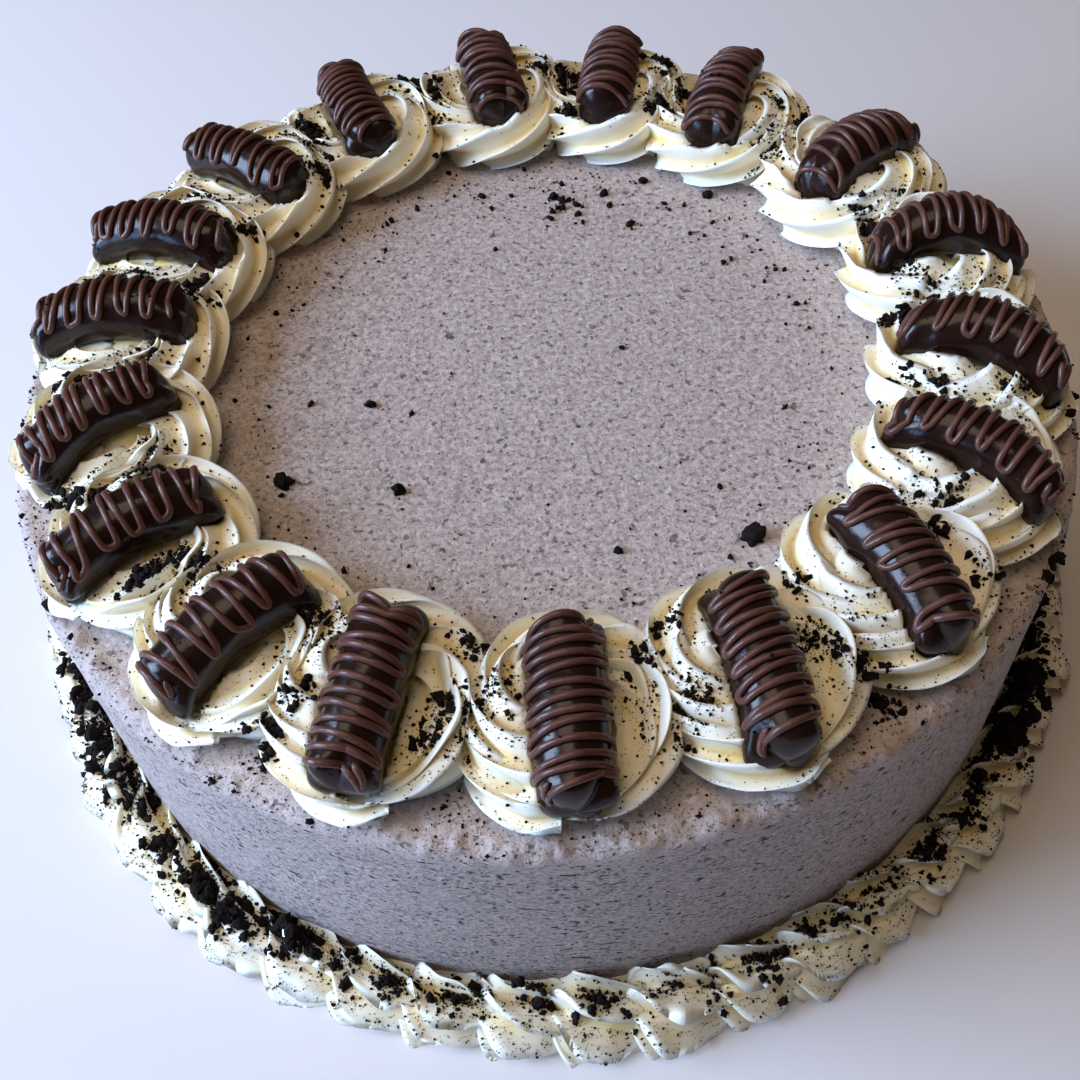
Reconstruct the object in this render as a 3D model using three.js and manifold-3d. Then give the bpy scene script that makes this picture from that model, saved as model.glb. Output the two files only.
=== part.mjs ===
// Cookies and cream cake with piped rosettes, a chocolate log in each and a shell border.
// Millimetres, +Z up. The origin is the centre of the base, on the surface that it stands on.
// The front is toward -Y. Rosettes are numbered from the front, clockwise seen from above.

import * as THREE from 'three';
import { mergeVertices } from 'three/addons/utils/BufferGeometryUtils.js';
import Module from 'manifold-3d';

const wasm = await Module();
wasm.setup();

// Driving sizes of the cake
const CAKE_RADIUS = 129;
const CAKE_HEIGHT = 78;
const CAKE_EDGE_ROUND = 3.5;
const CAKE_FOOT_ROUND = 1.5;
const CAKE_SIDES = 60;
const CAKE_EDGE_STEPS = 2;

// Driving sizes of the rosettes: a rope piped once round and then up into the middle
const ROSETTE_COUNT = 18;
const ROSETTE_RING_RADIUS = 102;
const ROPE_RADIUS = 8.6;
const FIRST_TURN_RADIUS = 15.4;
const FIRST_TURN_DRIFT = 1.4;
const FIRST_TURN_HEIGHT = 6.4;
const FIRST_TURN_RISE = 1.2;
const SECOND_TURN_OUTSET = 12;
const SECOND_TURN_START_HEIGHT = 8.6;
const SECOND_TURN_RADIUS = 5.5;
const SECOND_TURN_HEIGHT = 10.6;
const SECOND_TURN_PACE = 1.4;
const TAIL_DIRECTION = -35;
const TAIL_SPREAD = 25;

// Ridges that the star nozzle leaves along the rope
const RIDGES_PER_TURN = 6;
const COLUMNS_PER_RIDGE = 4;
const RIDGE_DEPTH = 2.2;
const RIDGE_MEAN = 0.64;
const ROSETTE_TOLERANCE = 0.2;

// Driving sizes of the chocolate logs and their drizzle
const LOG_LENGTH = 39;
const LOG_RADIUS = 8.4;
const LOG_MID_RADIUS = 105;
const LOG_AXIS_HEIGHT = 12.8;
const LOG_TILT = 4;
const LOG_SIDES = 9;
const LOG_END_ROUND = 4.2;
const LOG_TOLERANCE = 0.2;
const LOG_BEND_REST = 0.6;
const TROUGH_OPEN = 12;
const DRIZZLE_STROKES = 8;
const DRIZZLE_HEIGHT = 1.4;
const DRIZZLE_REACH = 100;
const DRIZZLE_SWING = 0.34;

// Driving sizes of the shell border round the foot
const SHELL_COUNT = 48;
const SHELL_OUTER_RADIUS = 147;
const SHELL_HEIGHT = 14;
const SHELL_COLUMNS = 3;

// Clearance between solids that touch
const GAP = 0.3;

// Each rosette was piped by hand: degrees off its even place, and degrees its log is turned
const FRONT_ANGLE = -89;
const PLACE_OFFSETS = [-1, -3, -1, -1, 0, 1, 4, 5, 5, 3, 4, 5, 1, -1, -1, 1, 1, 0];
const LOG_TURNS = [0, 6, -9, 0, 24, 6, 8, 6, -8, 4, 3, 12, 5, -10, -22, -13, -20, -13];

// Each log was still soft when it was laid over its rosette: how far in mm its ends hang below
// its middle, and how far its middle bows to its left, seen from the cake's middle
const LOG_ARCHES = [2.5, 2.5, 3.5, 4.5, 6, 5, 4.5, 3, 2.5, 2.5, 2.5, 4, 5.5, 9, 7.5, 5, 3, 2.5];
const LOG_BOWS = [0, 0.5, -2.5, -1.5, -2, -1.5, -1, 0, 1, 0, 0, 2, 2, 4.5, 3.5, 2.5, 1.5, 1];

// How much handwork varies, as a share of the size or in degrees
const SIZE_SPREAD = 0.03;
const LENGTH_SPREAD = 0.02;
const TILT_SPREAD = 1.5;
const SHELL_SPREAD = 0.04;

const TURN = 2 * Math.PI;
const FULL_CIRCLE = 360;
const WELD_DISTANCE = 1e-5;

const frosting = { color: 0xf1ead8, roughness: 0.5, metalness: 0 };
const buttercream = { color: 0x9c9296, roughness: 0.7, metalness: 0 };
const chocolate = { color: 0x2a1a16, roughness: 0.3, metalness: 0 };

const radians = THREE.MathUtils.degToRad;
const { clamp, lerp, euclideanModulo } = THREE.MathUtils;

// A fixed number between -1 and 1 for each seed, so that every piece differs a little
function vary(seed) {
  const wave = Math.sin(seed * 12.9898) * 43758.5453;
  return 2 * (wave - Math.floor(wave)) - 1;
}

// Where a rosette stands round the cake; an index past either end carries on round
function placeAngle(index) {
  const offset = PLACE_OFFSETS[euclideanModulo(index, ROSETTE_COUNT)];
  return radians(FRONT_ANGLE - (FULL_CIRCLE / ROSETTE_COUNT) * index + offset);
}

// Positions alone, with shared corners merged and triangles of no area left out
function welded(form) {
  const bare = form.clone();
  bare.deleteAttribute('normal');
  bare.deleteAttribute('uv');
  const merged = mergeVertices(bare, WELD_DISTANCE);
  const corners = merged.index.array;
  const kept = [];
  for (let i = 0; i < corners.length; i += 3) {
    const [a, b, c] = corners.slice(i, i + 3);
    if (a !== b && b !== c && c !== a) kept.push(a, b, c);
  }
  merged.setIndex(kept);
  return merged;
}

// A lathe whose profile changes round the axis: profileAt(angle, column) gives its
// [radius, height] points from the bottom up, the same number of them on every side
function turnedForm(profileAt, columns) {
  const rows = profileAt(0, 0).length;
  const blank = Array.from({ length: rows }, (_, row) => new THREE.Vector2(1, row));
  const form = new THREE.LatheGeometry(blank, columns);
  const position = form.attributes.position;
  for (let step = 0; step <= columns; step++) {
    const column = step % columns;
    const angle = (TURN * column) / columns;
    profileAt(angle, column).forEach(([radius, height], row) => {
      position.setXYZ(step * rows + row, radius * Math.cos(angle), radius * Math.sin(angle), height);
    });
  }
  return welded(form);
}

function toSolid(form) {
  return new wasm.Manifold(
    new wasm.Mesh({
      numProp: 3,
      vertProperties: new Float32Array(form.attributes.position.array),
      triVerts: new Uint32Array(form.index.array),
    })
  );
}

function toGeometry(solid) {
  const mesh = solid.getMesh();
  const form = new THREE.BufferGeometry();
  form.setAttribute('position', new THREE.BufferAttribute(mesh.vertProperties, 3));
  form.setIndex(new THREE.BufferAttribute(mesh.triVerts, 1));
  form.computeVertexNormals();
  return form;
}

// The largest body of a cut solid, without the loose scraps that a cut can leave
function largestBody(solid) {
  return solid.decompose().sort((a, b) => b.volume() - a.volume())[0];
}

function named(name, form, finish) {
  const mesh = new THREE.Mesh(form, new THREE.MeshStandardMaterial(finish));
  mesh.name = name;
  return mesh;
}

// The cake itself: one solid drum with a softly rounded top edge
function cakeBody() {
  const shoulder = CAKE_RADIUS - CAKE_EDGE_ROUND;
  const profile = [
    [0, 0],
    [CAKE_RADIUS - CAKE_FOOT_ROUND, 0],
    [CAKE_RADIUS, CAKE_FOOT_ROUND],
  ];
  for (let step = 0; step <= CAKE_EDGE_STEPS; step++) {
    const lift = (Math.PI / 2) * (step / CAKE_EDGE_STEPS);
    const radius = shoulder + CAKE_EDGE_ROUND * Math.cos(lift);
    const height = CAKE_HEIGHT - CAKE_EDGE_ROUND * (1 - Math.sin(lift));
    profile.push([radius, height]);
  }
  profile.push([0, CAKE_HEIGHT]);
  return named('cake_body', turnedForm(() => profile, CAKE_SIDES), buttercream);
}

// One rosette, clockwise from a tail on the cake. The profile at each angle goes over the
// first turn of the rope and then over the second, which winds inward and up.
function rosetteForm(index) {
  const size = 1 + SIZE_SPREAD * vary(index + 1);
  const rope = ROPE_RADIUS * size;
  const tail = radians(TAIL_DIRECTION + TAIL_SPREAD * vary(index + 40));
  const profileAt = (angle) => {
    const turned = euclideanModulo((tail - angle) / TURN, 1);
    const climb = Math.min(1, turned * SECOND_TURN_PACE);
    const firstRadius = FIRST_TURN_RADIUS * size - FIRST_TURN_DRIFT * turned;
    const firstHeight = FIRST_TURN_HEIGHT + FIRST_TURN_RISE * turned;
    const secondRadius = lerp(SECOND_TURN_OUTSET, SECOND_TURN_RADIUS, climb);
    const secondHeight = lerp(SECOND_TURN_START_HEIGHT, SECOND_TURN_HEIGHT, climb);
    const ridge = (row) => {
      const phase = RIDGES_PER_TURN * angle - (row * TURN) / COLUMNS_PER_RIDGE;
      return RIDGE_DEPTH * (Math.abs(Math.cos(phase / 2)) - RIDGE_MEAN);
    };
    const over = (radius, height, lift, row) => [
      radius + (rope + ridge(row)) * Math.cos(lift),
      height + (rope + ridge(row)) * Math.sin(lift),
    ];
    return [
      [0, 0],
      [firstRadius + rope * 0.8 + ridge(0), 0],
      over(firstRadius, firstHeight, 0.1, 1),
      over(firstRadius, firstHeight, 0.85, 2),
      over(secondRadius, secondHeight, 0.35, 3),
      over(secondRadius, secondHeight, 1.2, 4),
      [0, SECOND_TURN_HEIGHT + rope * 0.8],
    ];
  };
  return pressedSides(turnedForm(profileAt, RIDGES_PER_TURN * COLUMNS_PER_RIDGE), index);
}

// Neighbouring rosettes press flat against each other along the line halfway between them
function pressedSides(form, index) {
  const own = placeAngle(index);
  const ahead = (placeAngle(index - 1) - own) / 2;
  const behind = (own - placeAngle(index + 1)) / 2;
  const position = form.attributes.position;
  for (let i = 0; i < position.count; i++) {
    const out = ROSETTE_RING_RADIUS + position.getX(i);
    const across = position.getY(i);
    const wall = across > 0 ? ahead : behind;
    const room = out * Math.tan(wall) - GAP / 2 / Math.cos(wall);
    position.setY(i, clamp(across, -room, room));
  }
  return form;
}

// One log, lying along X. Its drizzle is a zigzag ridge over the top: every second row of
// points is the crest of a stroke, and the strokes swing to alternate ends as they go down.
function logForm(index) {
  const half = (LOG_LENGTH * (1 + LENGTH_SPREAD * vary(index + 7))) / 2;
  const radius = LOG_RADIUS * (1 + SIZE_SPREAD * vary(index + 21));
  const laid = half - LOG_END_ROUND;
  const pitch = (2 * laid) / DRIZZLE_STROKES;
  const reach = radians(DRIZZLE_REACH);
  const profileAt = (angle) => {
    const fromTop = angle > Math.PI ? angle - TURN : angle;
    const covered = Math.abs(fromTop) < reach;
    const profile = [
      [0, -half],
      [radius * 0.7, LOG_END_ROUND * 0.3 - half],
    ];
    for (let row = 0; row <= 2 * DRIZZLE_STROKES; row++) {
      const crest = covered && row % 2 === 1;
      const swing = row % 4 === 1 ? DRIZZLE_SWING : -DRIZZLE_SWING;
      const sideways = crest ? (swing * fromTop) / reach : 0;
      profile.push([radius + (crest ? DRIZZLE_HEIGHT : 0), pitch * (row / 2 + sideways) - laid]);
    }
    profile.push([radius * 0.7, half - LOG_END_ROUND * 0.3]);
    profile.push([0, half]);
    return profile;
  };
  const form = turnedForm(profileAt, LOG_SIDES);
  form.rotateY(Math.PI / 2);
  form.rotateX(Math.PI);
  return toGeometry(toSolid(bent(form, index)).simplify(LOG_TOLERANCE));
}

// Bends a form that lies along X as its log is bent: the middle up and aside, the ends down.
// The middle rises by LOG_BEND_REST of the whole bend, and the ends drop by the rest.
function bent(form, index) {
  const position = form.attributes.position;
  for (let i = 0; i < position.count; i++) {
    const x = position.getX(i);
    const rise = LOG_BEND_REST - (x / (LOG_LENGTH / 2)) ** 2;
    position.setY(i, position.getY(i) + LOG_BOWS[index] * rise);
    position.setZ(i, position.getZ(i) + LOG_ARCHES[index] * rise);
  }
  return form;
}

// A log lies along the cake's radius but turned a little, its outer end the lower one
function placeLog(log, index) {
  log.position.set(LOG_MID_RADIUS, 0, LOG_AXIS_HEIGHT);
  log.rotation.order = 'ZYX';
  log.rotation.z = radians(LOG_TURNS[index]);
  log.rotation.y = radians(LOG_TILT + TILT_SPREAD * vary(index + 60));
}

// The trough that a log has pressed: round below, with banks that fall away from it above.
// It is straight, so a bent log rests in it near both ends and its middle stands clear.
function troughForm() {
  const long = LOG_LENGTH * (1 + LENGTH_SPREAD) + 2 * GAP;
  const round = (LOG_RADIUS * (1 + SIZE_SPREAD) + GAP) / Math.cos(Math.PI / LOG_SIDES);
  const bank = round + DRIZZLE_HEIGHT;
  const section = new THREE.Shape();
  section.moveTo(-bank - TROUGH_OPEN, TROUGH_OPEN);
  section.lineTo(-bank, 0);
  section.absarc(0, 0, round, Math.PI, TURN, false);
  section.lineTo(bank, 0);
  section.lineTo(bank + TROUGH_OPEN, TROUGH_OPEN);
  const form = new THREE.ExtrudeGeometry(section, { depth: long, bevelEnabled: false, curveSegments: 4 });
  form.translate(0, 0, -long / 2);
  form.rotateX(Math.PI / 2);
  form.rotateZ(Math.PI / 2);
  return welded(form);
}

// The border: shells piped one into the next, each high and wide at its head, low at its tail
function shellBorder() {
  const inner = CAKE_RADIUS + GAP;
  const profileAt = (angle, column) => {
    const shell = Math.floor(column / SHELL_COLUMNS);
    const along = (column % SHELL_COLUMNS) / SHELL_COLUMNS;
    const swell = Math.sin(Math.PI * lerp(1, 0.35, along));
    const high = SHELL_HEIGHT * (0.72 + 0.24 * swell + SHELL_SPREAD * vary(shell));
    const wide = (SHELL_OUTER_RADIUS - inner) * (0.78 + 0.18 * swell + SHELL_SPREAD * vary(shell + 90));
    return [
      [inner, 0],
      [inner + wide * 0.93, 0],
      [inner + wide, high * 0.24],
      [inner + wide * 0.72, high * 0.62],
      [inner + wide * 0.28, high],
      [inner, high * 0.86],
      [inner, 0],
    ];
  };
  return named('shell_border', turnedForm(profileAt, SHELL_COUNT * SHELL_COLUMNS), frosting);
}

// A rosette cut clear of the log in it and of the logs beside it
function cutRosette(index, places) {
  const { turned } = places[index];
  const toRosette = turned.matrixWorld.clone().invert();
  toRosette.premultiply(new THREE.Matrix4().makeTranslation(-ROSETTE_RING_RADIUS, 0, 0));
  let rosette = toSolid(rosetteForm(index));
  for (const step of [-1, 0, 1]) {
    const { log } = places[euclideanModulo(index + step, ROSETTE_COUNT)];
    const trough = troughForm().applyMatrix4(toRosette.clone().multiply(log.matrixWorld));
    rosette = rosette.subtract(toSolid(trough));
  }
  return toGeometry(largestBody(rosette.simplify(ROSETTE_TOLERANCE)));
}

function buildCake() {
  const cake = new THREE.Group();
  cake.add(cakeBody());
  cake.add(shellBorder());

  const places = [];
  for (let index = 0; index < ROSETTE_COUNT; index++) {
    const number = String(index + 1).padStart(2, '0');
    const turned = new THREE.Group();
    turned.position.z = CAKE_HEIGHT;
    turned.rotation.z = placeAngle(index);
    const log = named(`chocolate_log_${number}`, logForm(index), chocolate);
    placeLog(log, index);
    turned.add(log);
    cake.add(turned);
    places.push({ turned, log, number });
  }
  cake.updateMatrixWorld(true);

  places.forEach(({ turned, number }, index) => {
    const rosette = named(`rosette_${number}`, cutRosette(index, places), frosting);
    rosette.position.x = ROSETTE_RING_RADIUS;
    turned.add(rosette);
  });
  return cake;
}

export default buildCake();
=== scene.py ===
"""Cookies and cream cake: the finished surfaces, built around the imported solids.

The cake stands on its base with +Z up and its front toward -Y. Shapes are worked out in
millimetres in the cake's own frame and turned to metres when a mesh is made.
"""
import logging
import math
from dataclasses import dataclass, field
from enum import Enum

import bmesh
import bpy
import numpy as np
from mathutils import Matrix, Vector
from mathutils.bvhtree import BVHTree


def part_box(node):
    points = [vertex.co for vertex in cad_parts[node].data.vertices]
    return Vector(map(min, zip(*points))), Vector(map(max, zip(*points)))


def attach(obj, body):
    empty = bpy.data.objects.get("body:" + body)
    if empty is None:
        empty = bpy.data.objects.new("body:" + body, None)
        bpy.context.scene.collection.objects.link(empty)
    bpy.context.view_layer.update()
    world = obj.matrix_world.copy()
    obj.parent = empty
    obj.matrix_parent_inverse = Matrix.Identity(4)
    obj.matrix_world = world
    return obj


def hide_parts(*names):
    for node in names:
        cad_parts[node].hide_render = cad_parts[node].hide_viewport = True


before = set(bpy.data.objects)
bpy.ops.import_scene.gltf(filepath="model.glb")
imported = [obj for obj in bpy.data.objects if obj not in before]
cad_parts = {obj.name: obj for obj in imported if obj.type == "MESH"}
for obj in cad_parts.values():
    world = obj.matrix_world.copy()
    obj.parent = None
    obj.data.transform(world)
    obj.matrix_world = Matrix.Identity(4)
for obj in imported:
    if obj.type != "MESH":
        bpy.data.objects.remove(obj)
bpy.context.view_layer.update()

log = logging.getLogger("cake")

MM = 0.001
TURN = 2 * math.pi
ROOT = "root"

# Degrees of the front rosette's even place, round from +X
FRONT_ANGLE = -89

# Hand piping: degrees each rosette sits off its even place, and degrees its log is turned
PLACE_OFFSETS = (-1, -3, -1, -1, 0, 1, 4, 5, 5, 3, 4, 5, 1, -1, -1, 1, 1, 0)
LOG_TURNS = (0, 6, -9, 0, 24, 6, 8, 6, -8, 4, 3, 12, 5, -10, -22, -13, -20, -13)
ROSETTE_COUNT = len(PLACE_OFFSETS)
BORDER_COUNT = 48

# How far in millimetres each log's ends hang below its middle, and its middle bows to its left
LOG_ARCHES = (2.5, 2.5, 3.5, 4.5, 6, 5, 4.5, 3, 2.5, 2.5, 2.5, 4, 5.5, 9, 7.5, 5, 3, 2.5)
LOG_BOWS = (0, 0.5, -2.5, -1.5, -2, -1.5, -1, 0, 1, 0, 0, 2, 2, 4.5, 3.5, 2.5, 1.5, 1)

# Loose crumbs that stand out on the cake's top: x, y and size in millimetres
LOOSE_CRUMBS = (
    (44, -57, 5.0), (-42, -8, 2.6), (-62, -31, 3.4), (-35, -36, 3.0), (39, -42, 2.2), (-32, -12, 1.6),
    (-57, -6, 1.8), (21, 5, 1.7), (10, 61, 2.6), (28, 52, 2.2), (22, 66, 2.4), (-9, 46, 1.8),
    (-47, -58, 2.0), (14, -58, 1.8), (59, -51, 2.8), (58, -19, 1.8), (23, -76, 2.6),
)

# Crumbs strewn evenly over rings of the top, and over the border: how many, the radii between which they
# fell, and the smallest and largest size, in millimetres
TOP_BANDS = (
    (7500, 80, 125, 0.28, 1.0), (5500, 112, 129, 0.26, 0.85), (900, 66, 84, 0.3, 1.4), (70, 0, 70, 0.4, 1.3),
)
BORDER_BAND = (21000, 130, 147, 0.3, 0.85)

# Radii in millimetres of the heaps of crumbs behind the shells and of the coarse crumbs on them, and
# how many handfuls of these there are
BORDER_HEAP = 133.2
BORDER_RIDGE = 134
BORDER_HANDFULS = 90

# Where the crumbs' draws start
CRUMB_SEED = 11

# Where more crumbs lie: the middle angle and its spread in degrees, the radii between which they fell in
# millimetres, the handfuls, the crumbs in each, and the smallest and largest size in millimetres
CRUMB_DRIFTS = (
    (200, 14, 131, 138, 34, 60, 0.5, 3.2), (232, 8, 131, 138, 12, 60, 0.5, 3.2),
    (337, 13, 131, 137, 34, 80, 0.5, 3.2), (95, 34, 58, 84, 70, 3, 0.6, 2.6),
)


class Slot(Enum):
    """The record's material slots."""

    BUTTERCREAM = "cookie_buttercream"
    FROSTING = "piped_frosting"
    CHOCOLATE = "dark_chocolate"
    DRIZZLE = "milk_chocolate_drizzle"
    CRUMB = "cookie_crumb"


def linear(code: str) -> tuple[float, float, float, float]:
    """Turns an sRGB hex colour to linear.

    Args:
        code: Six hex digits after a hash mark.

    Returns:
        Red, green, blue and an alpha of one.
    """
    shares = [int(code[i:i + 2], 16) / 255 for i in (1, 3, 5)]
    red, green, blue = (c / 12.92 if c <= 0.04045 else ((c + 0.055) / 1.055) ** 2.4 for c in shares)
    return red, green, blue, 1.0


def add_node(tree: bpy.types.NodeTree, kind: str, links: dict | None = None, **settings) -> bpy.types.Node:
    """Adds a node with its settings and links.

    Args:
        tree: The material's node tree.
        kind: The node's type name.
        links: Input names or numbers, each with a value or with the socket that feeds it.
        **settings: The node's own properties.

    Returns:
        The node.
    """
    node = tree.nodes.new(kind)
    for name, value in settings.items():
        setattr(node, name, value)
    for name, value in (links or {}).items():
        socket = node.inputs[name]
        if isinstance(value, bpy.types.NodeSocket):
            tree.links.new(value, socket)
        else:
            socket.default_value = value
    return node


@dataclass(frozen=True)
class Grain:
    """Smooth random values in space, the same on every run."""

    seed: int
    cells: int = 24

    def at(self, points: np.ndarray, size: float) -> np.ndarray:
        """Reads the values at some points.

        Args:
            points: Rows of x, y and z in millimetres.
            size: Millimetres from one random value to the next.

        Returns:
            One value between -1 and 1 for each point.
        """
        lattice = np.random.default_rng(self.seed).uniform(-1, 1, (self.cells,) * 3)
        place = points / size
        low = np.floor(place).astype(int)
        part = place - low
        part = part * part * (3 - 2 * part)
        total = np.zeros(len(points))
        for corner in np.ndindex(2, 2, 2):
            share = np.prod(np.where(corner, part, 1 - part), axis=1)
            i, j, k = ((low + corner) % self.cells).T
            total += share * lattice[i, j, k]
        return total


def smooth_step(value: np.ndarray, low: float, high: float) -> np.ndarray:
    """Rises smoothly from 0 at low to 1 at high.

    Args:
        value: The values to read.
        low: Where the rise starts.
        high: Where the rise ends.

    Returns:
        A share between 0 and 1 for each value.
    """
    share = np.clip((value - low) / (high - low), 0, 1)
    return share * share * (3 - 2 * share)


def ring_way(angle: np.ndarray) -> np.ndarray:
    """The level directions at some angles from +X, one a row."""
    return np.stack([np.cos(angle), np.sin(angle), np.zeros_like(angle)], axis=1)


@dataclass(frozen=True)
class Ramp:
    """A value that rises smoothly, by an amount, from a first place to a last one."""

    amount: float
    first: float
    last: float

    def at(self, place: np.ndarray) -> np.ndarray:
        """How far it has risen at each place."""
        return self.amount * smooth_step(place, self.first, self.last)


def facing_out(points: np.ndarray, faces: list[np.ndarray]) -> list[np.ndarray]:
    """Turns the faces of closed forms outward, if they face inward.

    Args:
        points: Rows of x, y and z.
        faces: Arrays of faces.

    Returns:
        The faces, all reversed where the volume inside them came out below zero.
    """
    volume = 0.0
    for block in faces:
        for corner in range(1, block.shape[1] - 1):
            cross = np.cross(points[block[:, corner]], points[block[:, corner + 1]])
            volume += np.sum(points[block[:, 0]] * cross)
    return faces if volume > 0 else [block[:, ::-1] for block in faces]


def make_mesh(name: str, points: np.ndarray, faces: list[np.ndarray]) -> bpy.types.Object:
    """Makes a smooth mesh object that rides on the cake.

    Args:
        name: The piece's name.
        points: Rows of x, y and z in millimetres.
        faces: Arrays of faces, each array with its own number of corners a face.

    Returns:
        The object, linked to the scene.
    """
    faces = facing_out(points, faces)
    corners = np.concatenate([block.ravel() for block in faces])
    sizes = np.concatenate([np.full(len(block), block.shape[1]) for block in faces])
    mesh = bpy.data.meshes.new(name)
    mesh.vertices.add(len(points))
    mesh.vertices.foreach_set("co", (points * MM).astype(np.float32).ravel())
    mesh.loops.add(len(corners))
    mesh.loops.foreach_set("vertex_index", corners.astype(np.int32))
    mesh.polygons.add(len(sizes))
    starts = np.concatenate([[0], np.cumsum(sizes)[:-1]])
    mesh.polygons.foreach_set("loop_start", starts.astype(np.int32))
    mesh.polygons.foreach_set("use_smooth", np.ones(len(sizes), bool))
    mesh.update(calc_edges=True)
    mesh.validate()
    piece = bpy.data.objects.new(name, mesh)
    bpy.context.scene.collection.objects.link(piece)
    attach(piece, ROOT)
    return piece


def mark(piece: bpy.types.Object, name: str, values: np.ndarray) -> None:
    """Stores one value for each point of a mesh, for its finish to read."""
    attribute = piece.data.attributes.new(name, "FLOAT", "POINT")
    attribute.data.foreach_set("value", values.astype(np.float32))


def tube_faces(rows: int, columns: int) -> list[np.ndarray]:
    """Joins rows of a tube, round and round, and closes both its ends with fans.

    Args:
        rows: How many rows of points the tube has. Its two end points come after them.
        columns: How many points each row has.

    Returns:
        Quads for the wall, and triangles for the ends, that count from zero.
    """
    row, column = np.meshgrid(np.arange(rows - 1), np.arange(columns), indexing="ij")
    after = (column + 1) % columns
    wall = np.stack([row * columns + column, row * columns + after,
                     (row + 1) * columns + after, (row + 1) * columns + column], axis=-1).reshape(-1, 4)
    ring = np.arange(columns)
    beyond = np.roll(ring, -1)
    last = (rows - 1) * columns
    first_end, last_end = rows * columns, rows * columns + 1
    near = np.stack([beyond, ring, np.full(columns, first_end)], axis=-1)
    far = np.stack([last + ring, last + beyond, np.full(columns, last_end)], axis=-1)
    return [wall, np.concatenate([near, far])]


@dataclass
class Batch:
    """Many closed forms gathered into one mesh."""

    points: list = field(default_factory=list)
    faces: dict = field(default_factory=dict)
    count: int = 0

    def add(self, points: np.ndarray, faces: list[np.ndarray]) -> None:
        """Adds one form.

        Args:
            points: Rows of x, y and z in millimetres.
            faces: Arrays of faces, which count these points from zero.
        """
        self.points.append(points)
        for block in faces:
            self.faces.setdefault(block.shape[1], []).append(block + self.count)
        self.count += len(points)

    def make(self, name: str) -> bpy.types.Object:
        """Makes the object that holds every form added so far."""
        blocks = [np.concatenate(group) for group in self.faces.values()]
        return make_mesh(name, np.concatenate(self.points), blocks)


@dataclass(frozen=True)
class StarRope:
    """The rope of frosting that a star nozzle leaves: sharp fins with hollow valleys between."""

    fins: int = 7
    depth: float = 0.38
    edge: float = 0.66
    steps: tuple = (0, 0.04, 0.12, 0.25, 0.5, 0.75, 0.88, 0.96)
    point_gap: float = 3.1
    crest_power: float = 1.5

    def section(self) -> np.ndarray:
        """Angles of the section's points, from one fin's crest round to it again."""
        shares = np.array(self.steps)
        return np.concatenate([(fin + shares) / self.fins for fin in range(self.fins)]) * TURN

    def valley(self) -> np.ndarray:
        """How deep each point of the section lies: 0 on a fin's crest and 1 in a valley."""
        return np.abs(np.sin(self.section() * self.fins / 2)) ** self.edge

    def spots(self, centre: np.ndarray) -> np.ndarray:
        """Places to read a grain at, set apart from fin to fin.

        Args:
            centre: The points of the rope's line.

        Returns:
            A row for each point of each section.
        """
        columns = len(self.steps) * self.fins
        spots = np.repeat(centre, columns, axis=0)
        spots[:, 2] += np.tile(np.arange(columns) * self.point_gap, len(centre))
        return spots

    def sweep(self, centre: np.ndarray, side: np.ndarray, lift: np.ndarray, reach: np.ndarray,
              turn: np.ndarray, lean: np.ndarray, rough: np.ndarray) -> tuple[np.ndarray, list[np.ndarray]]:
        """Lays the rope along a line.

        Args:
            centre: The line's points.
            side: The sideways direction at each point, as long as the rope is wide there.
            lift: The upward direction at each point, as long as the rope is high there.
            reach: The rope's size at each point, in millimetres.
            turn: How far the fins have turned at each point, in radians.
            lean: How far the crests hang over their valleys, in radians: a row for each point of the
                line, and one column or as many as the section has points.
            rough: A share added to the size of each point of each section.

        Returns:
            The points, and faces that count from zero.
        """
        valley = self.valley()
        out = reach[:, None] * (1 - self.depth * valley) * (1 + rough)
        angle = self.section() + turn[:, None] - lean * (1 - valley) ** self.crest_power
        points = (centre[:, None, :]
                  + (out * np.cos(angle))[..., None] * side[:, None, :]
                  + (out * np.sin(angle))[..., None] * lift[:, None, :])
        rows, columns = out.shape
        ends = np.stack([centre[0], centre[-1]])
        return np.concatenate([points.reshape(-1, 3), ends]), tube_faces(rows, columns)


@dataclass(frozen=True)
class CakeSizes:
    """The cake's main sizes in millimetres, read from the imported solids."""

    radius: float
    height: float

    @classmethod
    def from_frame(cls) -> "CakeSizes":
        """Reads the sizes from the solid's box."""
        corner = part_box("cake_body")[1]
        return cls(corner.x / MM, corner.z / MM)


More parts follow.
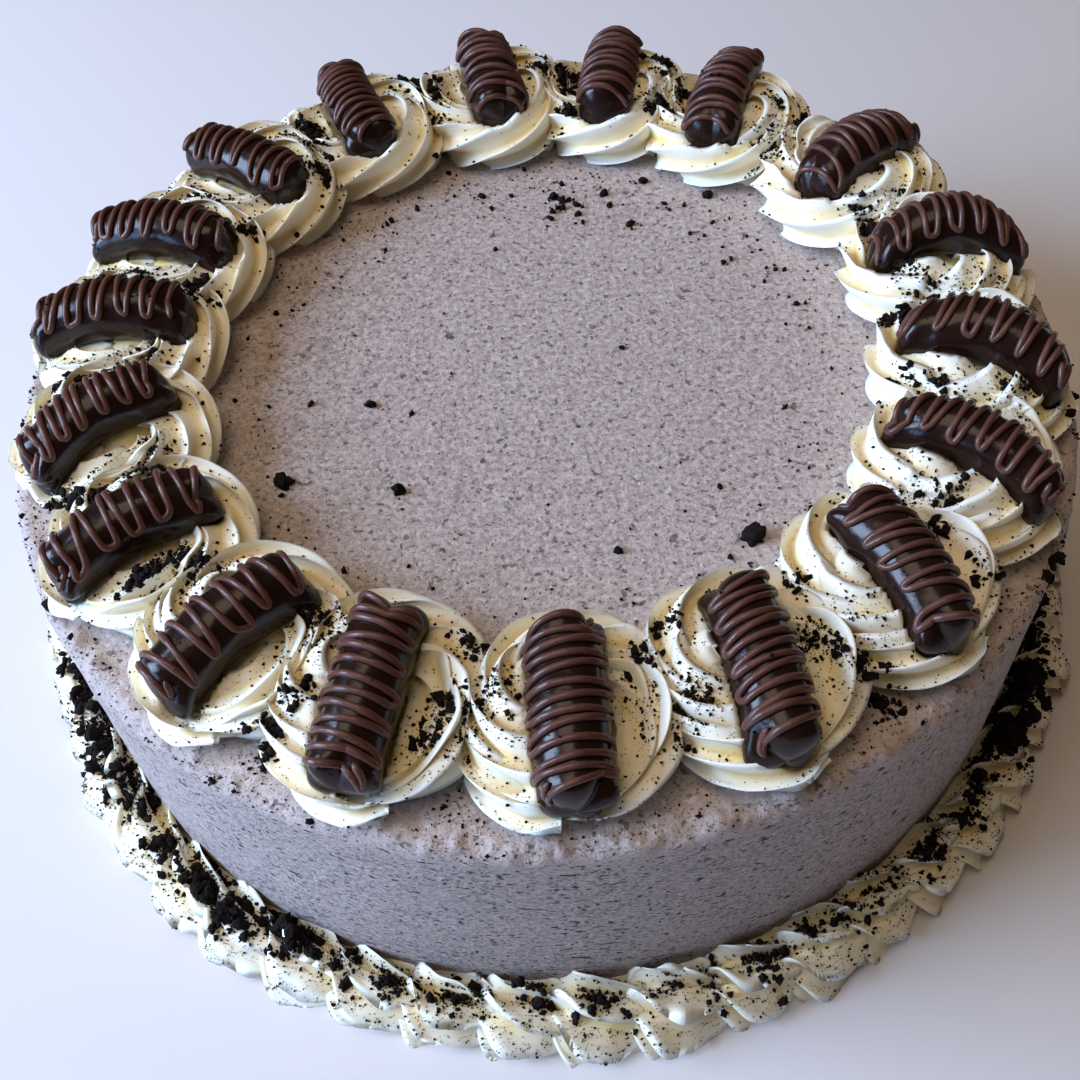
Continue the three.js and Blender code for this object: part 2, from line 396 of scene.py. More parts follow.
@dataclass(frozen=True)
class RingPlace:
    """One of the eighteen places round the top, where a rosette and its log go."""

    index: int
    sizes: CakeSizes
    ring_radius: float = 102.0
    side_give: float = 0.45

    @property
    def number(self) -> str:
        """The place's number in the names of its pieces."""
        return f"{self.index + 1:02d}"

    @staticmethod
    def angle_of(index: int) -> float:
        """The angle of a place in radians; an index past either end carries on round."""
        offset = PLACE_OFFSETS[index % ROSETTE_COUNT]
        return math.radians(FRONT_ANGLE - 360 / ROSETTE_COUNT * index + offset)

    @classmethod
    def between(cls, index: int) -> float:
        """The angle halfway from a place to the next one, in radians."""
        return (cls.angle_of(index) + cls.angle_of(index + 1)) / 2

    @property
    def angle(self) -> float:
        """This place's own angle in radians."""
        return self.angle_of(self.index)

    def to_cake(self, points: np.ndarray) -> np.ndarray:
        """Takes points from the place, x outward and z up from the cake's top, to the cake.

        Args:
            points: Rows of x, y and z in millimetres, from the rosette's middle.

        Returns:
            The same points in the cake's frame.
        """
        c, s = math.cos(self.angle), math.sin(self.angle)
        out, across = points[:, 0] + self.ring_radius, points[:, 1]
        up = points[:, 2] + self.sizes.height
        return np.stack([out * c - across * s, out * s + across * c, up], axis=1)

    def press_sides(self, points: np.ndarray) -> np.ndarray:
        """Presses a rosette in where it meets its neighbours.

        Args:
            points: Rows in the place's own directions.

        Returns:
            The points, with most of what lay past the halfway lines pushed back.
        """
        ahead = (self.angle_of(self.index - 1) - self.angle) / 2
        behind = (self.angle - self.angle_of(self.index + 1)) / 2
        out, across = points[:, 0] + self.ring_radius, points[:, 1]
        wall = np.where(across > 0, ahead, behind)
        over = np.abs(across) - out * np.tan(wall)
        pressed = np.where(over > 0, np.sign(across) * (out * np.tan(wall) + self.side_give * over), across)
        return np.stack([points[:, 0], pressed, points[:, 2]], axis=1)


@dataclass
class ChocolateLog:
    """A finger of coated chocolate with milk chocolate drizzled to and fro across it.

    Attributes:
        mid_radius: How far the log's middle lies from the cake's.
        axis_height: How high it lies above the cake's top.
        tilt: How far its outer end dips, in degrees.
        end_round: How long its rounded ends are.
        end_power: How square they are.
        bend_rest: The share of the bend by which its middle is lifted.
        pinch_reach: How far from an end the coating is drawn into lobes.
        pinch_push: How far out the lobes are pushed.
        waves: The coating's long and short waves: a share of the radius, and millimetres.
        laid_margin: How much shorter the drizzle is than the log.
        stroke_varies: How far its strokes stray along the log, as a share of their pitch.
        stroke_slopes: The least and the greatest slope of a stroke, as shares of the pitch.
        turn_varies: How far its turns stray round the log, as a share.
        curl: How far along and how far back its last turn is drawn.
        skew: The greatest angle by which all its strokes are turned, in degrees.
        strand: The drizzle's radius.
        strand_waves: How much thicker it gets in places, as a share, and millimetres between them.
        strand_lift: How far its line lies above the coating, as a share of its radius.
        blur: How many steps to either side soften the drizzle's turns.
        dish_floor: How low the frosting's dish starts on the log's right, from its axis.
        dish_curve: How the dish rises from there, with the square of the distance.
        ridge_floor: How low the frosting lies beside the log on its left.
        ridge_slope: How it rises from there.
        end_slope: How the dish's floor rises past the log's ends.
        right_side: Where the dish takes over from the ridge, across the log.
        inner_end: How much of the dish is missing at the log's inner end, and where.
        sunk: How far the log's underside is sunk into the frosting that it meets.
        end_change: Where the frosting past the ends starts to give as it does there.
        end_fade: How far past the ends the frosting is pressed.
        side_fade: How far past the flanks it is pressed, and where it is so in full.
        gives: The share of its height that frosting keeps under the log, at its left, at its right and
            past its ends.
    """

    place: RingPlace
    length: float = 39.0
    radius: float = 7.45
    mid_radius: float = 105.0
    axis_height: float = 12.8
    tilt: float = 4.0
    end_round: float = 4.4
    end_power: float = 2.6
    rows: int = 110
    columns: int = 64
    bend_rest: float = 0.6
    pinch_reach: float = 8.0
    pinch_push: float = 7.0
    waves: tuple = ((0.07, 9.0), (0.028, 3.6))
    laid_margin: float = 1.0
    stroke_varies: float = 0.22
    stroke_slopes: tuple = (0.1, 0.8)
    turn_varies: float = 0.16
    curl: tuple = (2.4, 0.4)
    skew: float = 16
    strand: float = 0.78
    strand_waves: tuple = (0.16, 3.5)
    strand_lift: float = 0.45
    strand_sides: int = 12
    strand_step: float = 0.35
    blur: int = 8
    strokes: int = 11
    dish_floor: float = -7.0
    dish_curve: float = 0.058
    ridge_floor: float = -1.5
    ridge_slope: float = 0.35
    end_slope: float = 0.75
    right_side: Ramp = Ramp(1.0, -4, 4)
    inner_end: Ramp = Ramp(0.55, 3, 12)
    sunk: float = 0.4
    end_change: Ramp = Ramp(1.0, 0, 3)
    end_fade: Ramp = Ramp(1.0, 10, 4)
    side_fade: tuple = (17, 9)
    gives: tuple = (0.04, 0.65, 0.32, 0.4)
    rng: np.random.Generator = field(init=False)

    def __post_init__(self) -> None:
        """Draws what differs from log to log."""
        self.rng = np.random.default_rng(500 + self.place.index)
        self.length *= 1 + 0.03 * self.rng.uniform(-1, 1)
        self.radius *= 1 + 0.05 * self.rng.uniform(-1, 1)
        self.bow = LOG_BOWS[self.place.index] + 0.5 * self.rng.uniform(-1, 1)
        self.arch = LOG_ARCHES[self.place.index]
        self.taper = self.rng.uniform(0.0, 0.09)
        self.pinch = self.rng.uniform(0.12, 0.27) + 0.12 * max(-math.sin(self.place.angle), 0.0)
        self.pinch_lobes = int(self.rng.integers(3, 5))
        self.pinch_turn = self.rng.uniform(0, TURN)
        self.tilt += 1.5 * self.rng.uniform(-1, 1)
        facing = -math.cos(self.place.angle)
        self.roll = -0.24 * facing + 0.08 * self.rng.uniform(-1, 1)
        self.dish_floor += 2.0 * max(facing, 0.0)
        self.spread = math.radians(78 - 10 * abs(facing))

    def outline(self, along: np.ndarray) -> np.ndarray:
        """Works out how thick the body is.

        Args:
            along: Millimetres along the log from its middle, outward.

        Returns:
            The radius there, as a share of the full one.
        """
        half = self.length / 2
        past = np.clip((np.abs(along) - (half - self.end_round)) / self.end_round, 0, 1)
        return (1 - past ** self.end_power) ** 0.5 * (1 - self.taper * (along / half + 1) / 2)

    def surface(self, along: np.ndarray, angle: np.ndarray, stand_off: float = 0.0) -> np.ndarray:
        """Finds points on the coating.

        Args:
            along: Millimetres along the log from its middle, outward.
            angle: Radians from the top, toward the log's left side.
            stand_off: Millimetres above the coating.

        Returns:
            Rows of x along the log, y sideways and z up, from the log's middle.
        """
        half = self.length / 2
        near_end = smooth_step(np.abs(along), half - self.pinch_reach, half - 1)
        around = angle + self.pinch_turn + 0.4 * np.sin(angle + 2 * self.pinch_turn)
        share = self.outline(along)
        lobes = near_end * share * (np.abs(np.cos(self.pinch_lobes * around / 2)) - 0.6)
        drift = np.stack([along, 7 * np.cos(angle), 7 * np.sin(angle)], axis=1)
        grains = (Grain(40 + self.place.index), Grain(60))
        bumps = sum(deep * grain.at(drift, size) for grain, (deep, size) in zip(grains, self.waves))
        radius = self.radius * share * (1 + bumps + self.pinch * lobes) + stand_off
        rise = self.rise(along)
        out = along + np.sign(along) * self.pinch_push * self.pinch * lobes
        return np.stack([out, self.bow * rise + radius * np.sin(angle),
                         self.arch * rise + radius * np.cos(angle)], axis=1)

    def rise(self, along: np.ndarray) -> np.ndarray:
        """The share of the log's bend at places along it: its middle is lifted, its ends hang."""
        return self.bend_rest - (along / (self.length / 2)) ** 2

    def axes(self) -> np.ndarray:
        """Works out how the log lies in its place.

        Returns:
            Its three directions, along, sideways and up, one a row.
        """
        turn = math.radians(LOG_TURNS[self.place.index])
        dip = math.radians(self.tilt)
        along = np.array([math.cos(turn) * math.cos(dip), math.sin(turn) * math.cos(dip), -math.sin(dip)])
        sideways = np.array([-math.sin(turn), math.cos(turn), 0.0])
        return np.stack([along, sideways, np.cross(along, sideways)])

    def middle(self) -> np.ndarray:
        """The log's middle in its place."""
        return np.array([self.mid_radius - self.place.ring_radius, 0.0, self.axis_height])

    def to_cake(self, points: np.ndarray) -> np.ndarray:
        """Takes points from the log's own directions to the cake's frame."""
        return self.place.to_cake(points @ self.axes() + self.middle())

    def frame_in_cake(self) -> tuple[np.ndarray, np.ndarray]:
        """The log's middle and its three directions in the cake's frame."""
        corners = self.to_cake(np.concatenate([np.zeros((1, 3)), np.eye(3)]))
        return corners[0], corners[1:] - corners[0]

    def press(self, points: np.ndarray) -> np.ndarray:
        """Presses frosting down under the log and into a dish along its flanks.

        Args:
            points: Rows in the cake's frame.

        Returns:
            The points, with what the log has pushed away moved down.
        """
        middle, axes = self.frame_in_cake()
        local = (points - middle) @ axes.T
        along, across, up = local.T
        half = self.length / 2
        inner = np.clip(along, -half, half)
        beyond = np.abs(along - inner)
        reach = self.radius * self.outline(inner)
        up = up - self.arch * self.rise(inner)
        side = across - self.bow * self.rise(inner)
        aside = np.abs(side)
        past = np.clip(aside - reach, 0, None)
        right = self.right_side.at(side) * (1 - self.inner_end.at(-along))
        bank = self.ridge_floor + self.ridge_slope * past
        dish = self.dish_floor + self.dish_curve * past ** 2
        floor = bank + (dish - bank) * right
        below = aside < reach
        under = self.sunk - np.sqrt(np.clip(reach ** 2 - aside ** 2, 0, None))
        floor = np.where(below, np.minimum(under, floor), floor) + self.end_slope * beyond
        give_under, give_left, give_right, give_ends = self.gives
        kept = np.where(below & (beyond == 0), give_under, give_left + (give_right - give_left) * right)
        kept += (give_ends - kept) * self.end_change.at(beyond)
        eased = np.where(up > floor, floor + kept * (up - floor), up)
        least, full = self.side_fade
        fade = self.end_fade.at(beyond) * smooth_step(aside, self.radius + least, self.radius + full)
        local[:, 2] += (eased - up) * fade
        return local @ axes + middle

    def body_mesh(self) -> tuple[np.ndarray, list[np.ndarray]]:
        """Builds the coated body as a closed tube with rounded ends.

        Returns:
            Points in the cake's frame, and faces.
        """
        half = self.length / 2
        swing = np.linspace(-math.pi / 2, math.pi / 2, self.rows)
        along = np.sin(swing) * half * (1 - 1e-4)
        angle = np.linspace(0, TURN, self.columns, endpoint=False)
        grid_along, grid_angle = (g.ravel() for g in np.meshgrid(along, angle, indexing="ij"))
        points = self.surface(grid_along, grid_angle)
        ring = self.columns
        ends = np.stack([points[:ring].mean(axis=0), points[-ring:].mean(axis=0)])
        return self.to_cake(np.concatenate([points, ends])), tube_faces(self.rows, self.columns)

    def drizzle_corners(self) -> np.ndarray:
        """Draws where the drizzle turns back at the log's sides.

        Returns:
            Rows of millimetres along the log, and millimetres round it from its top.
        """
        laid = self.length - self.laid_margin
        strokes = self.strokes + int(self.rng.integers(-1, 2))
        pitch = laid / strokes
        side = self.rng.choice([-1, 1])
        corners = []
        for stroke in range(strokes + 1):
            middle = -laid / 2 + pitch * (stroke + self.stroke_varies * self.rng.uniform(-1, 1))
            slope = self.rng.uniform(*self.stroke_slopes)
            for share in (-1, 1):
                end = side * share * (1 + self.turn_varies * self.rng.uniform(-1, 1))
                corners.append((middle + share * slope * pitch / 2, self.radius * self.spread * end))
            side = -side
        last_along, last_round = corners[-1]
        back, share = self.curl
        corners.append((last_along - back, last_round * share))
        return np.array(corners)

    def drizzle_line(self) -> tuple[np.ndarray, np.ndarray]:
        """Rounds the drizzle's turns into one path.

        Returns:
            Millimetres along the log, and angles from its top.
        """
        skew = math.radians(self.rng.uniform(-self.skew, self.skew))
        corners = self.drizzle_corners()
        gone = np.concatenate([[0], np.cumsum(np.hypot(*np.diff(corners, axis=0).T))])
        steps = np.arange(0, gone[-1], self.strand_step)
        kernel = np.exp(-0.5 * (np.arange(-self.blur, self.blur + 1) / 3.0) ** 2)
        kernel /= kernel.sum()
        path = []
        for column in corners.T:
            padded = np.pad(np.interp(steps, gone, column), self.blur, mode="edge")
            path.append(np.convolve(padded, kernel, "valid"))
        along = path[0] + math.tan(skew) * path[1]
        along *= min(1.0, (self.length / 2 - 0.9) / np.max(np.abs(along)))
        return along, self.roll + path[1] / self.radius

    def drizzle_mesh(self) -> tuple[np.ndarray, list[np.ndarray]]:
        """Builds the drizzle as a rounded strand that lies on the coating.

        Returns:
            Points in the cake's frame, and faces.
        """
        along, angle = self.drizzle_line()
        lift = self.strand_lift * self.strand
        centre = self.surface(along, angle, lift)
        above = self.surface(along, angle, lift + 1)
        outward = above - centre
        outward /= np.linalg.norm(outward, axis=1)[:, None]
        ahead = np.gradient(centre, axis=0)
        ahead /= np.linalg.norm(ahead, axis=1)[:, None] + 1e-9
        beside = np.cross(ahead, outward)
        beside /= np.linalg.norm(beside, axis=1)[:, None] + 1e-9
        section = np.linspace(0, TURN, self.strand_sides, endpoint=False)
        thicker, apart = self.strand_waves
        swell = self.strand * (1 + thicker * Grain(70 + self.place.index).at(centre, apart))
        from_end = np.minimum(np.arange(len(centre)), np.arange(len(centre))[::-1])
        size = (swell * np.clip((from_end / 4) ** 0.5, 0.2, 1))[:, None, None]
        points = (centre[:, None, :]
                  + size * np.cos(section)[None, :, None] * beside[:, None, :]
                  + 0.95 * size * np.sin(section)[None, :, None] * outward[:, None, :])
        ends = np.stack([centre[0], centre[-1]])
        points = np.concatenate([points.reshape(-1, 3), ends])
        return self.to_cake(points), tube_faces(len(centre), self.strand_sides)

    def build(self) -> list[bpy.types.Object]:
        """Makes the coated body and the drizzle on it.

        Returns:
            The two pieces.
        """
        number = self.place.number
        body = make_mesh(f"coated_log_{number}", *self.body_mesh())
        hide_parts(f"chocolate_log_{number}")
        drizzle = make_mesh(f"log_drizzle_{number}", *self.drizzle_mesh())
        return [body, drizzle]


@dataclass(frozen=True)
class Petal:
    """A thin lip of frosting that stands up and curls outward along an arc of a rosette.

    Attributes:
        radius: How far the lip stands from the rosette's middle, in millimetres.
        first: The angle where it starts, in degrees from outward, toward the rosette's right.
        last: The angle where it ends.
        crest: How high it stands above the cake's top, in millimetres.
        steps: How many sections it has.
        outline: The section's points: millimetres outward, and a share of the crest's height.
        varies: How far its place round, in degrees, and its radius, as a share, stray.
        opening: How much nearer the middle it starts, as a share, and where along it that ends.
        widening: How much farther out it ends, in millimetres.
        rising: How much lower it starts, as a share, and where that ends.
        sinking: How much lower it ends, and from where.
        radius_waves: How far it wanders in and out, and millimetres between the waves.
        height_waves: The same up and down.
        least_curl: How far its ends curl outward, as a share of its middle's curl.
        fold_shade: How fast its painted shade deepens down the section, and what its outer side under the
            curl adds.
    """

    radius: float
    first: float
    last: float
    crest: float
    steps: int = 64
    outline: tuple = ((-2.0, 0.3), (-1.5, 0.52), (-0.8, 0.72), (0.0, 0.87), (0.9, 0.97), (1.5, 1.0),
                      (1.85, 0.965), (1.6, 0.88), (1.25, 0.76), (1.1, 0.6), (1.3, 0.3), (-0.4, 0.28))
    varies: tuple = (9, 0.05)
    opening: Ramp = Ramp(0.3, 0, 0.4)
    widening: float = 1.5
    rising: Ramp = Ramp(0.4, 0, 0.12)
    sinking: Ramp = Ramp(0.5, 0.45, 1.0)
    radius_waves: tuple = (0.7, 7.0)
    height_waves: tuple = (0.5, 5.0)
    least_curl: float = 0.45
    fold_shade: tuple = (2.4, 0.35)

    def mesh(self, seed: int) -> tuple[np.ndarray, list[np.ndarray], np.ndarray]:
        """Builds the lip.

        Args:
            seed: The number that its waves are drawn from.

        Returns:
            Points in the rosette's own directions, faces, and how much painted shade each point gets.
        """
        rng = np.random.default_rng(seed)
        share = np.linspace(0, 1, self.steps)
        turn_more, size_more = np.array(self.varies) * rng.uniform(-1, 1, 2)
        angle = np.radians(self.first + (self.last - self.first) * share + turn_more)
        radius = self.radius * (1 - self.opening.amount + self.opening.at(share)) + self.widening * share
        radius *= 1 + size_more
        spot = np.stack([radius * np.cos(angle), radius * np.sin(angle), np.full_like(angle, seed)], axis=1)
        wander, apart = self.radius_waves
        radius += wander * Grain(seed).at(spot, apart)
        height = self.crest * (1 - self.rising.amount + self.rising.at(share) - self.sinking.at(share))
        wander, apart = self.height_waves
        height += wander * Grain(seed + 1).at(spot, apart)
        aside, up = np.array(self.outline).T
        curl = self.least_curl + (1 - self.least_curl) * np.sin(math.pi * share)
        out = radius[:, None] + aside * curl[:, None]
        level = [out * np.cos(angle)[:, None], out * np.sin(angle)[:, None]]
        points = np.stack([*level, height[:, None] * up], axis=2)
        ends = points[[0, -1]].mean(axis=1)
        # Painted shade: darker lower down the lip and on its outer side under the curl
        deepens, outer = self.fold_shade
        depth = np.clip((1 - up) * deepens + outer * (aside > 1.0), 0, 1)
        depths = np.concatenate([np.tile(depth, self.steps), [1, 1]])
        return np.concatenate([points.reshape(-1, 3), ends]), tube_faces(self.steps, len(aside)), depths


@dataclass
class Rosette:
    """A rosette: one rope of frosting piped clockwise from a ragged tail, round and inward.

    The ramps run over the turns made from the tail; their amounts are millimetres or shares of size.

    Attributes:
        place: Where on the ring it is.
        rope: The nozzle's rope.
        reach: The rope's size.
        first_radius: How far its line starts from the rosette's middle.
        turns: How many times it goes round.
        step: Millimetres from section to section.
        tail_turn: Where the tail lies from outward, and how far that varies, in degrees.
        tail_out: How far the tail hangs out.
        tail_size: How much smaller it starts.
        end_size: How much smaller the rope ends.
        inward: How far it winds in.
        low: How high its line starts.
        raised: How far it climbs, first off its tail and then onto its own first turn.
        flat: The rope's height at the tail, as a share of its width.
        fuller: How much higher it is from there on.
        fin_phase: How far the fins are turned at the start.
        fin_varies: How far that differs from rosette to rosette, and the step that spreads it.
        wave_sizes: Millimetres between the waves on the fins, on their crests and on the torn tail.
        fin_waves: How high the first are, as a share of the rope's size.
        crest_waves: How high the second are.
        tail_waves: How high the third are, and the turns made where they end.
        rope_waves: How much the rope swells in places, and millimetres between them.
        flank: Where round the rosette, as a sine, its left flank starts and is full.
        lean: How far the crests hang over their valleys, in radians.
        flank_lean: How much less they do on that flank, as a share.
        flank_reach: How much thicker the rope is there, as a share.
        pressed_shade: How deep the painted shade gets where a log has pressed the frosting down.
        sunk: How far what would lie inside the drum goes into its top, and its share of the rest.
        mound_radius: How wide the frosting is that fills the middle.
        mound_height: How high it is.
        petals: The lips that stand beside the log.
    """

    place: RingPlace
    rope: StarRope = StarRope()
    reach: float = 9.2
    first_radius: float = 15.0
    turns: float = 1.56
    step: float = 0.55
    tail_turn: tuple = (10, 20)
    tail_out: Ramp = Ramp(2.8, 0.0, 0.32)
    tail_size: Ramp = Ramp(0.28, 0.0, 0.05)
    end_size: Ramp = Ramp(0.7, 1.34, 1.58)
    inward: tuple = (Ramp(2.2, 0.8, 1.2), Ramp(5.5, 1.2, 1.56))
    low: float = 4.6
    raised: tuple = (Ramp(1.9, 0.0, 0.2), Ramp(2.3, 0.82, 1.15))
    flat: float = 0.52
    fuller: Ramp = Ramp(0.42, 0.0, 0.2)
    fin_phase: float = math.radians(-42)
    fin_varies: tuple = (0.12, 7.3)
    wave_sizes: tuple = (5.0, 1.7, 2.6)
    fin_waves: float = 0.012
    crest_waves: float = 0.01
    tail_waves: tuple = (0.1, 0.12)
    rope_waves: tuple = (0.04, 8.0)
    flank: Ramp = Ramp(1.0, 0.1, 0.9)
    lean: float = -0.42
    flank_lean: float = 1.2
    flank_reach: float = 0.09
    pressed_shade: Ramp = Ramp(0.75, 0.5, 5)
    sunk: tuple = (0.3, 0.02)
    mound_radius: float = 12.5
    mound_height: float = 11.5
    petals: tuple = (Petal(18.3, 128, 8, 15.4), Petal(12.6, 158, 62, 16.5))

    def line(self) -> tuple[np.ndarray, ...]:
        """Works out the rope's line from its tail to its end.

        Returns:
            The turns made, the radius, the height, the angle, and the rope's size and height share.
        """
        rng = np.random.default_rng(900 + self.place.index)
        size = 1 + 0.03 * rng.uniform(-1, 1)
        middle, spread = self.tail_turn
        tail = math.radians(middle + spread * rng.uniform(-1, 1))
        count = int(self.turns * TURN * self.first_radius * 0.85 / self.step)
        turned = np.linspace(0, self.turns, count)
        radius = self.first_radius * size + self.tail_out.amount - self.tail_out.at(turned)
        radius -= sum(ramp.at(turned) for ramp in self.inward)
        height = self.low + 0.8 * np.clip(turned, 0, 1) + sum(ramp.at(turned) for ramp in self.raised)
        reach = self.reach * size * (1 - self.end_size.at(turned))
        reach *= 1 - self.tail_size.amount + self.tail_size.at(turned)
        return turned, radius, height, tail - TURN * turned, reach, self.flat + self.fuller.at(turned)

    def mound(self, rows: int = 20, columns: int = 40) -> tuple[np.ndarray, list[np.ndarray]]:
        """Builds the frosting that fills the rosette's middle, as a low closed dome.

        Args:
            rows: How many rows of points it has from top to bottom.
            columns: How many points each row has.

        Returns:
            Points in the place's directions, and faces.
        """
        lift = np.linspace(0.08, math.pi - 0.08, rows)
        spin = np.linspace(0, TURN, columns, endpoint=False)
        lift, spin = np.meshgrid(lift, spin, indexing="ij")
        ring = self.mound_radius * np.sin(lift)
        dome = np.stack([ring * np.cos(spin), ring * np.sin(spin), self.mound_height * np.cos(lift)], axis=-1)
        ends = np.array([[0, 0, self.mound_height], [0, 0, -self.mound_height]])
        return np.concatenate([dome.reshape(-1, 3), ends]), tube_faces(rows, columns)

    def coil(self) -> tuple[np.ndarray, list[np.ndarray], np.ndarray]:
        """Lays the rope, untouched yet.

        Returns:
            Points in the place's directions, faces, and how deep in a fold each point lies, which sets its
            painted shade.
        """
        turned, radius, height, angle, reach, flat = self.line()
        outward = ring_way(angle)
        centre = outward * radius[:, None] + np.array([0, 0, 1.0]) * height[:, None]
        lift = np.array([0, 0, 1.0]) * flat[:, None]
        varies, spread = self.fin_varies
        fin_turn = angle + self.fin_phase + varies * math.sin(spread * self.place.index)
        shape = (len(turned), -1)
        grain = Grain(150 + self.place.index)
        spot = self.rope.spots(centre)
        crest = (1 - self.rope.valley()) ** 2
        fins, crests, tail = (grain.at(spot, size).reshape(shape) for size in self.wave_sizes)
        tail_height, tail_end = self.tail_waves
        torn = tail_height * (1 - smooth_step(turned, 0, tail_end))[:, None]
        rough = self.fin_waves * fins
        rough += self.crest_waves * crest * crests + torn * tail
        thicker, apart = self.rope_waves
        swell = thicker * grain.at(centre, apart)[:, None]
        flank = self.flank.at(np.sin(angle))
        lean = (self.lean * (1 - self.flank_lean * flank))[:, None]
        reach = reach * (1 + self.flank_reach * flank)
        points, faces = self.rope.sweep(centre, outward, lift, reach, fin_turn, lean, rough + swell)
        return points, faces, np.concatenate([np.tile(self.rope.valley(), len(turned)), [1, 1]])

    def mesh(self, logs: list["ChocolateLog"]) -> tuple[np.ndarray, list[np.ndarray], np.ndarray]:
        """Joins the rope, the mound and the lips, and presses them by the neighbours and the logs.

        Args:
            logs: The log in this rosette and the ones beside it.

        Returns:
            Points in the cake's frame, faces, and each point's painted shade, from 0 to 1, for folds and
            pressed dishes.
        """
        points, faces, valley = self.coil()
        mound, mound_faces = self.mound()
        # The mound in the middle gets full painted shade
        forms = [(mound, mound_faces, np.ones(len(mound)))]
        forms += [petal.mesh(1300 + 20 * self.place.index + n) for n, petal in enumerate(self.petals)]
        for more, more_faces, depth in forms:
            faces += [block + len(points) for block in more_faces]
            points = np.concatenate([points, more])
            valley = np.concatenate([valley, depth])
        points = self.place.press_sides(points)
        points = self.place.to_cake(points)
        free = points[:, 2]
        for neighbour in logs:
            points = neighbour.press(points)
        # Painted shade: deepest in the rope's valleys and where a log pressed the frosting down
        fold_shades = np.maximum(valley, self.pressed_shade.at(free - points[:, 2]))
        top = self.place.sizes.height
        sunk, share = self.sunk
        points[:, 2] = np.where(points[:, 2] < top, top - sunk + share * (points[:, 2] - top), points[:, 2])
        return points, faces, fold_shades

    def build(self, logs: list["ChocolateLog"]) -> bpy.types.Object:
        """Makes the rosette.

        Args:
            logs: The log in it and the ones beside it.

        Returns:
            The object.
        """
        points, faces, fold_shades = self.mesh(logs)
        piece = make_mesh(f"piped_rosette_{self.place.number}", points, faces)
        # This mark is painted shade, for the frosting's finish to read
        mark(piece, "fold_shade", fold_shades)
        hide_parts(f"rosette_{self.place.number}")
        return piece


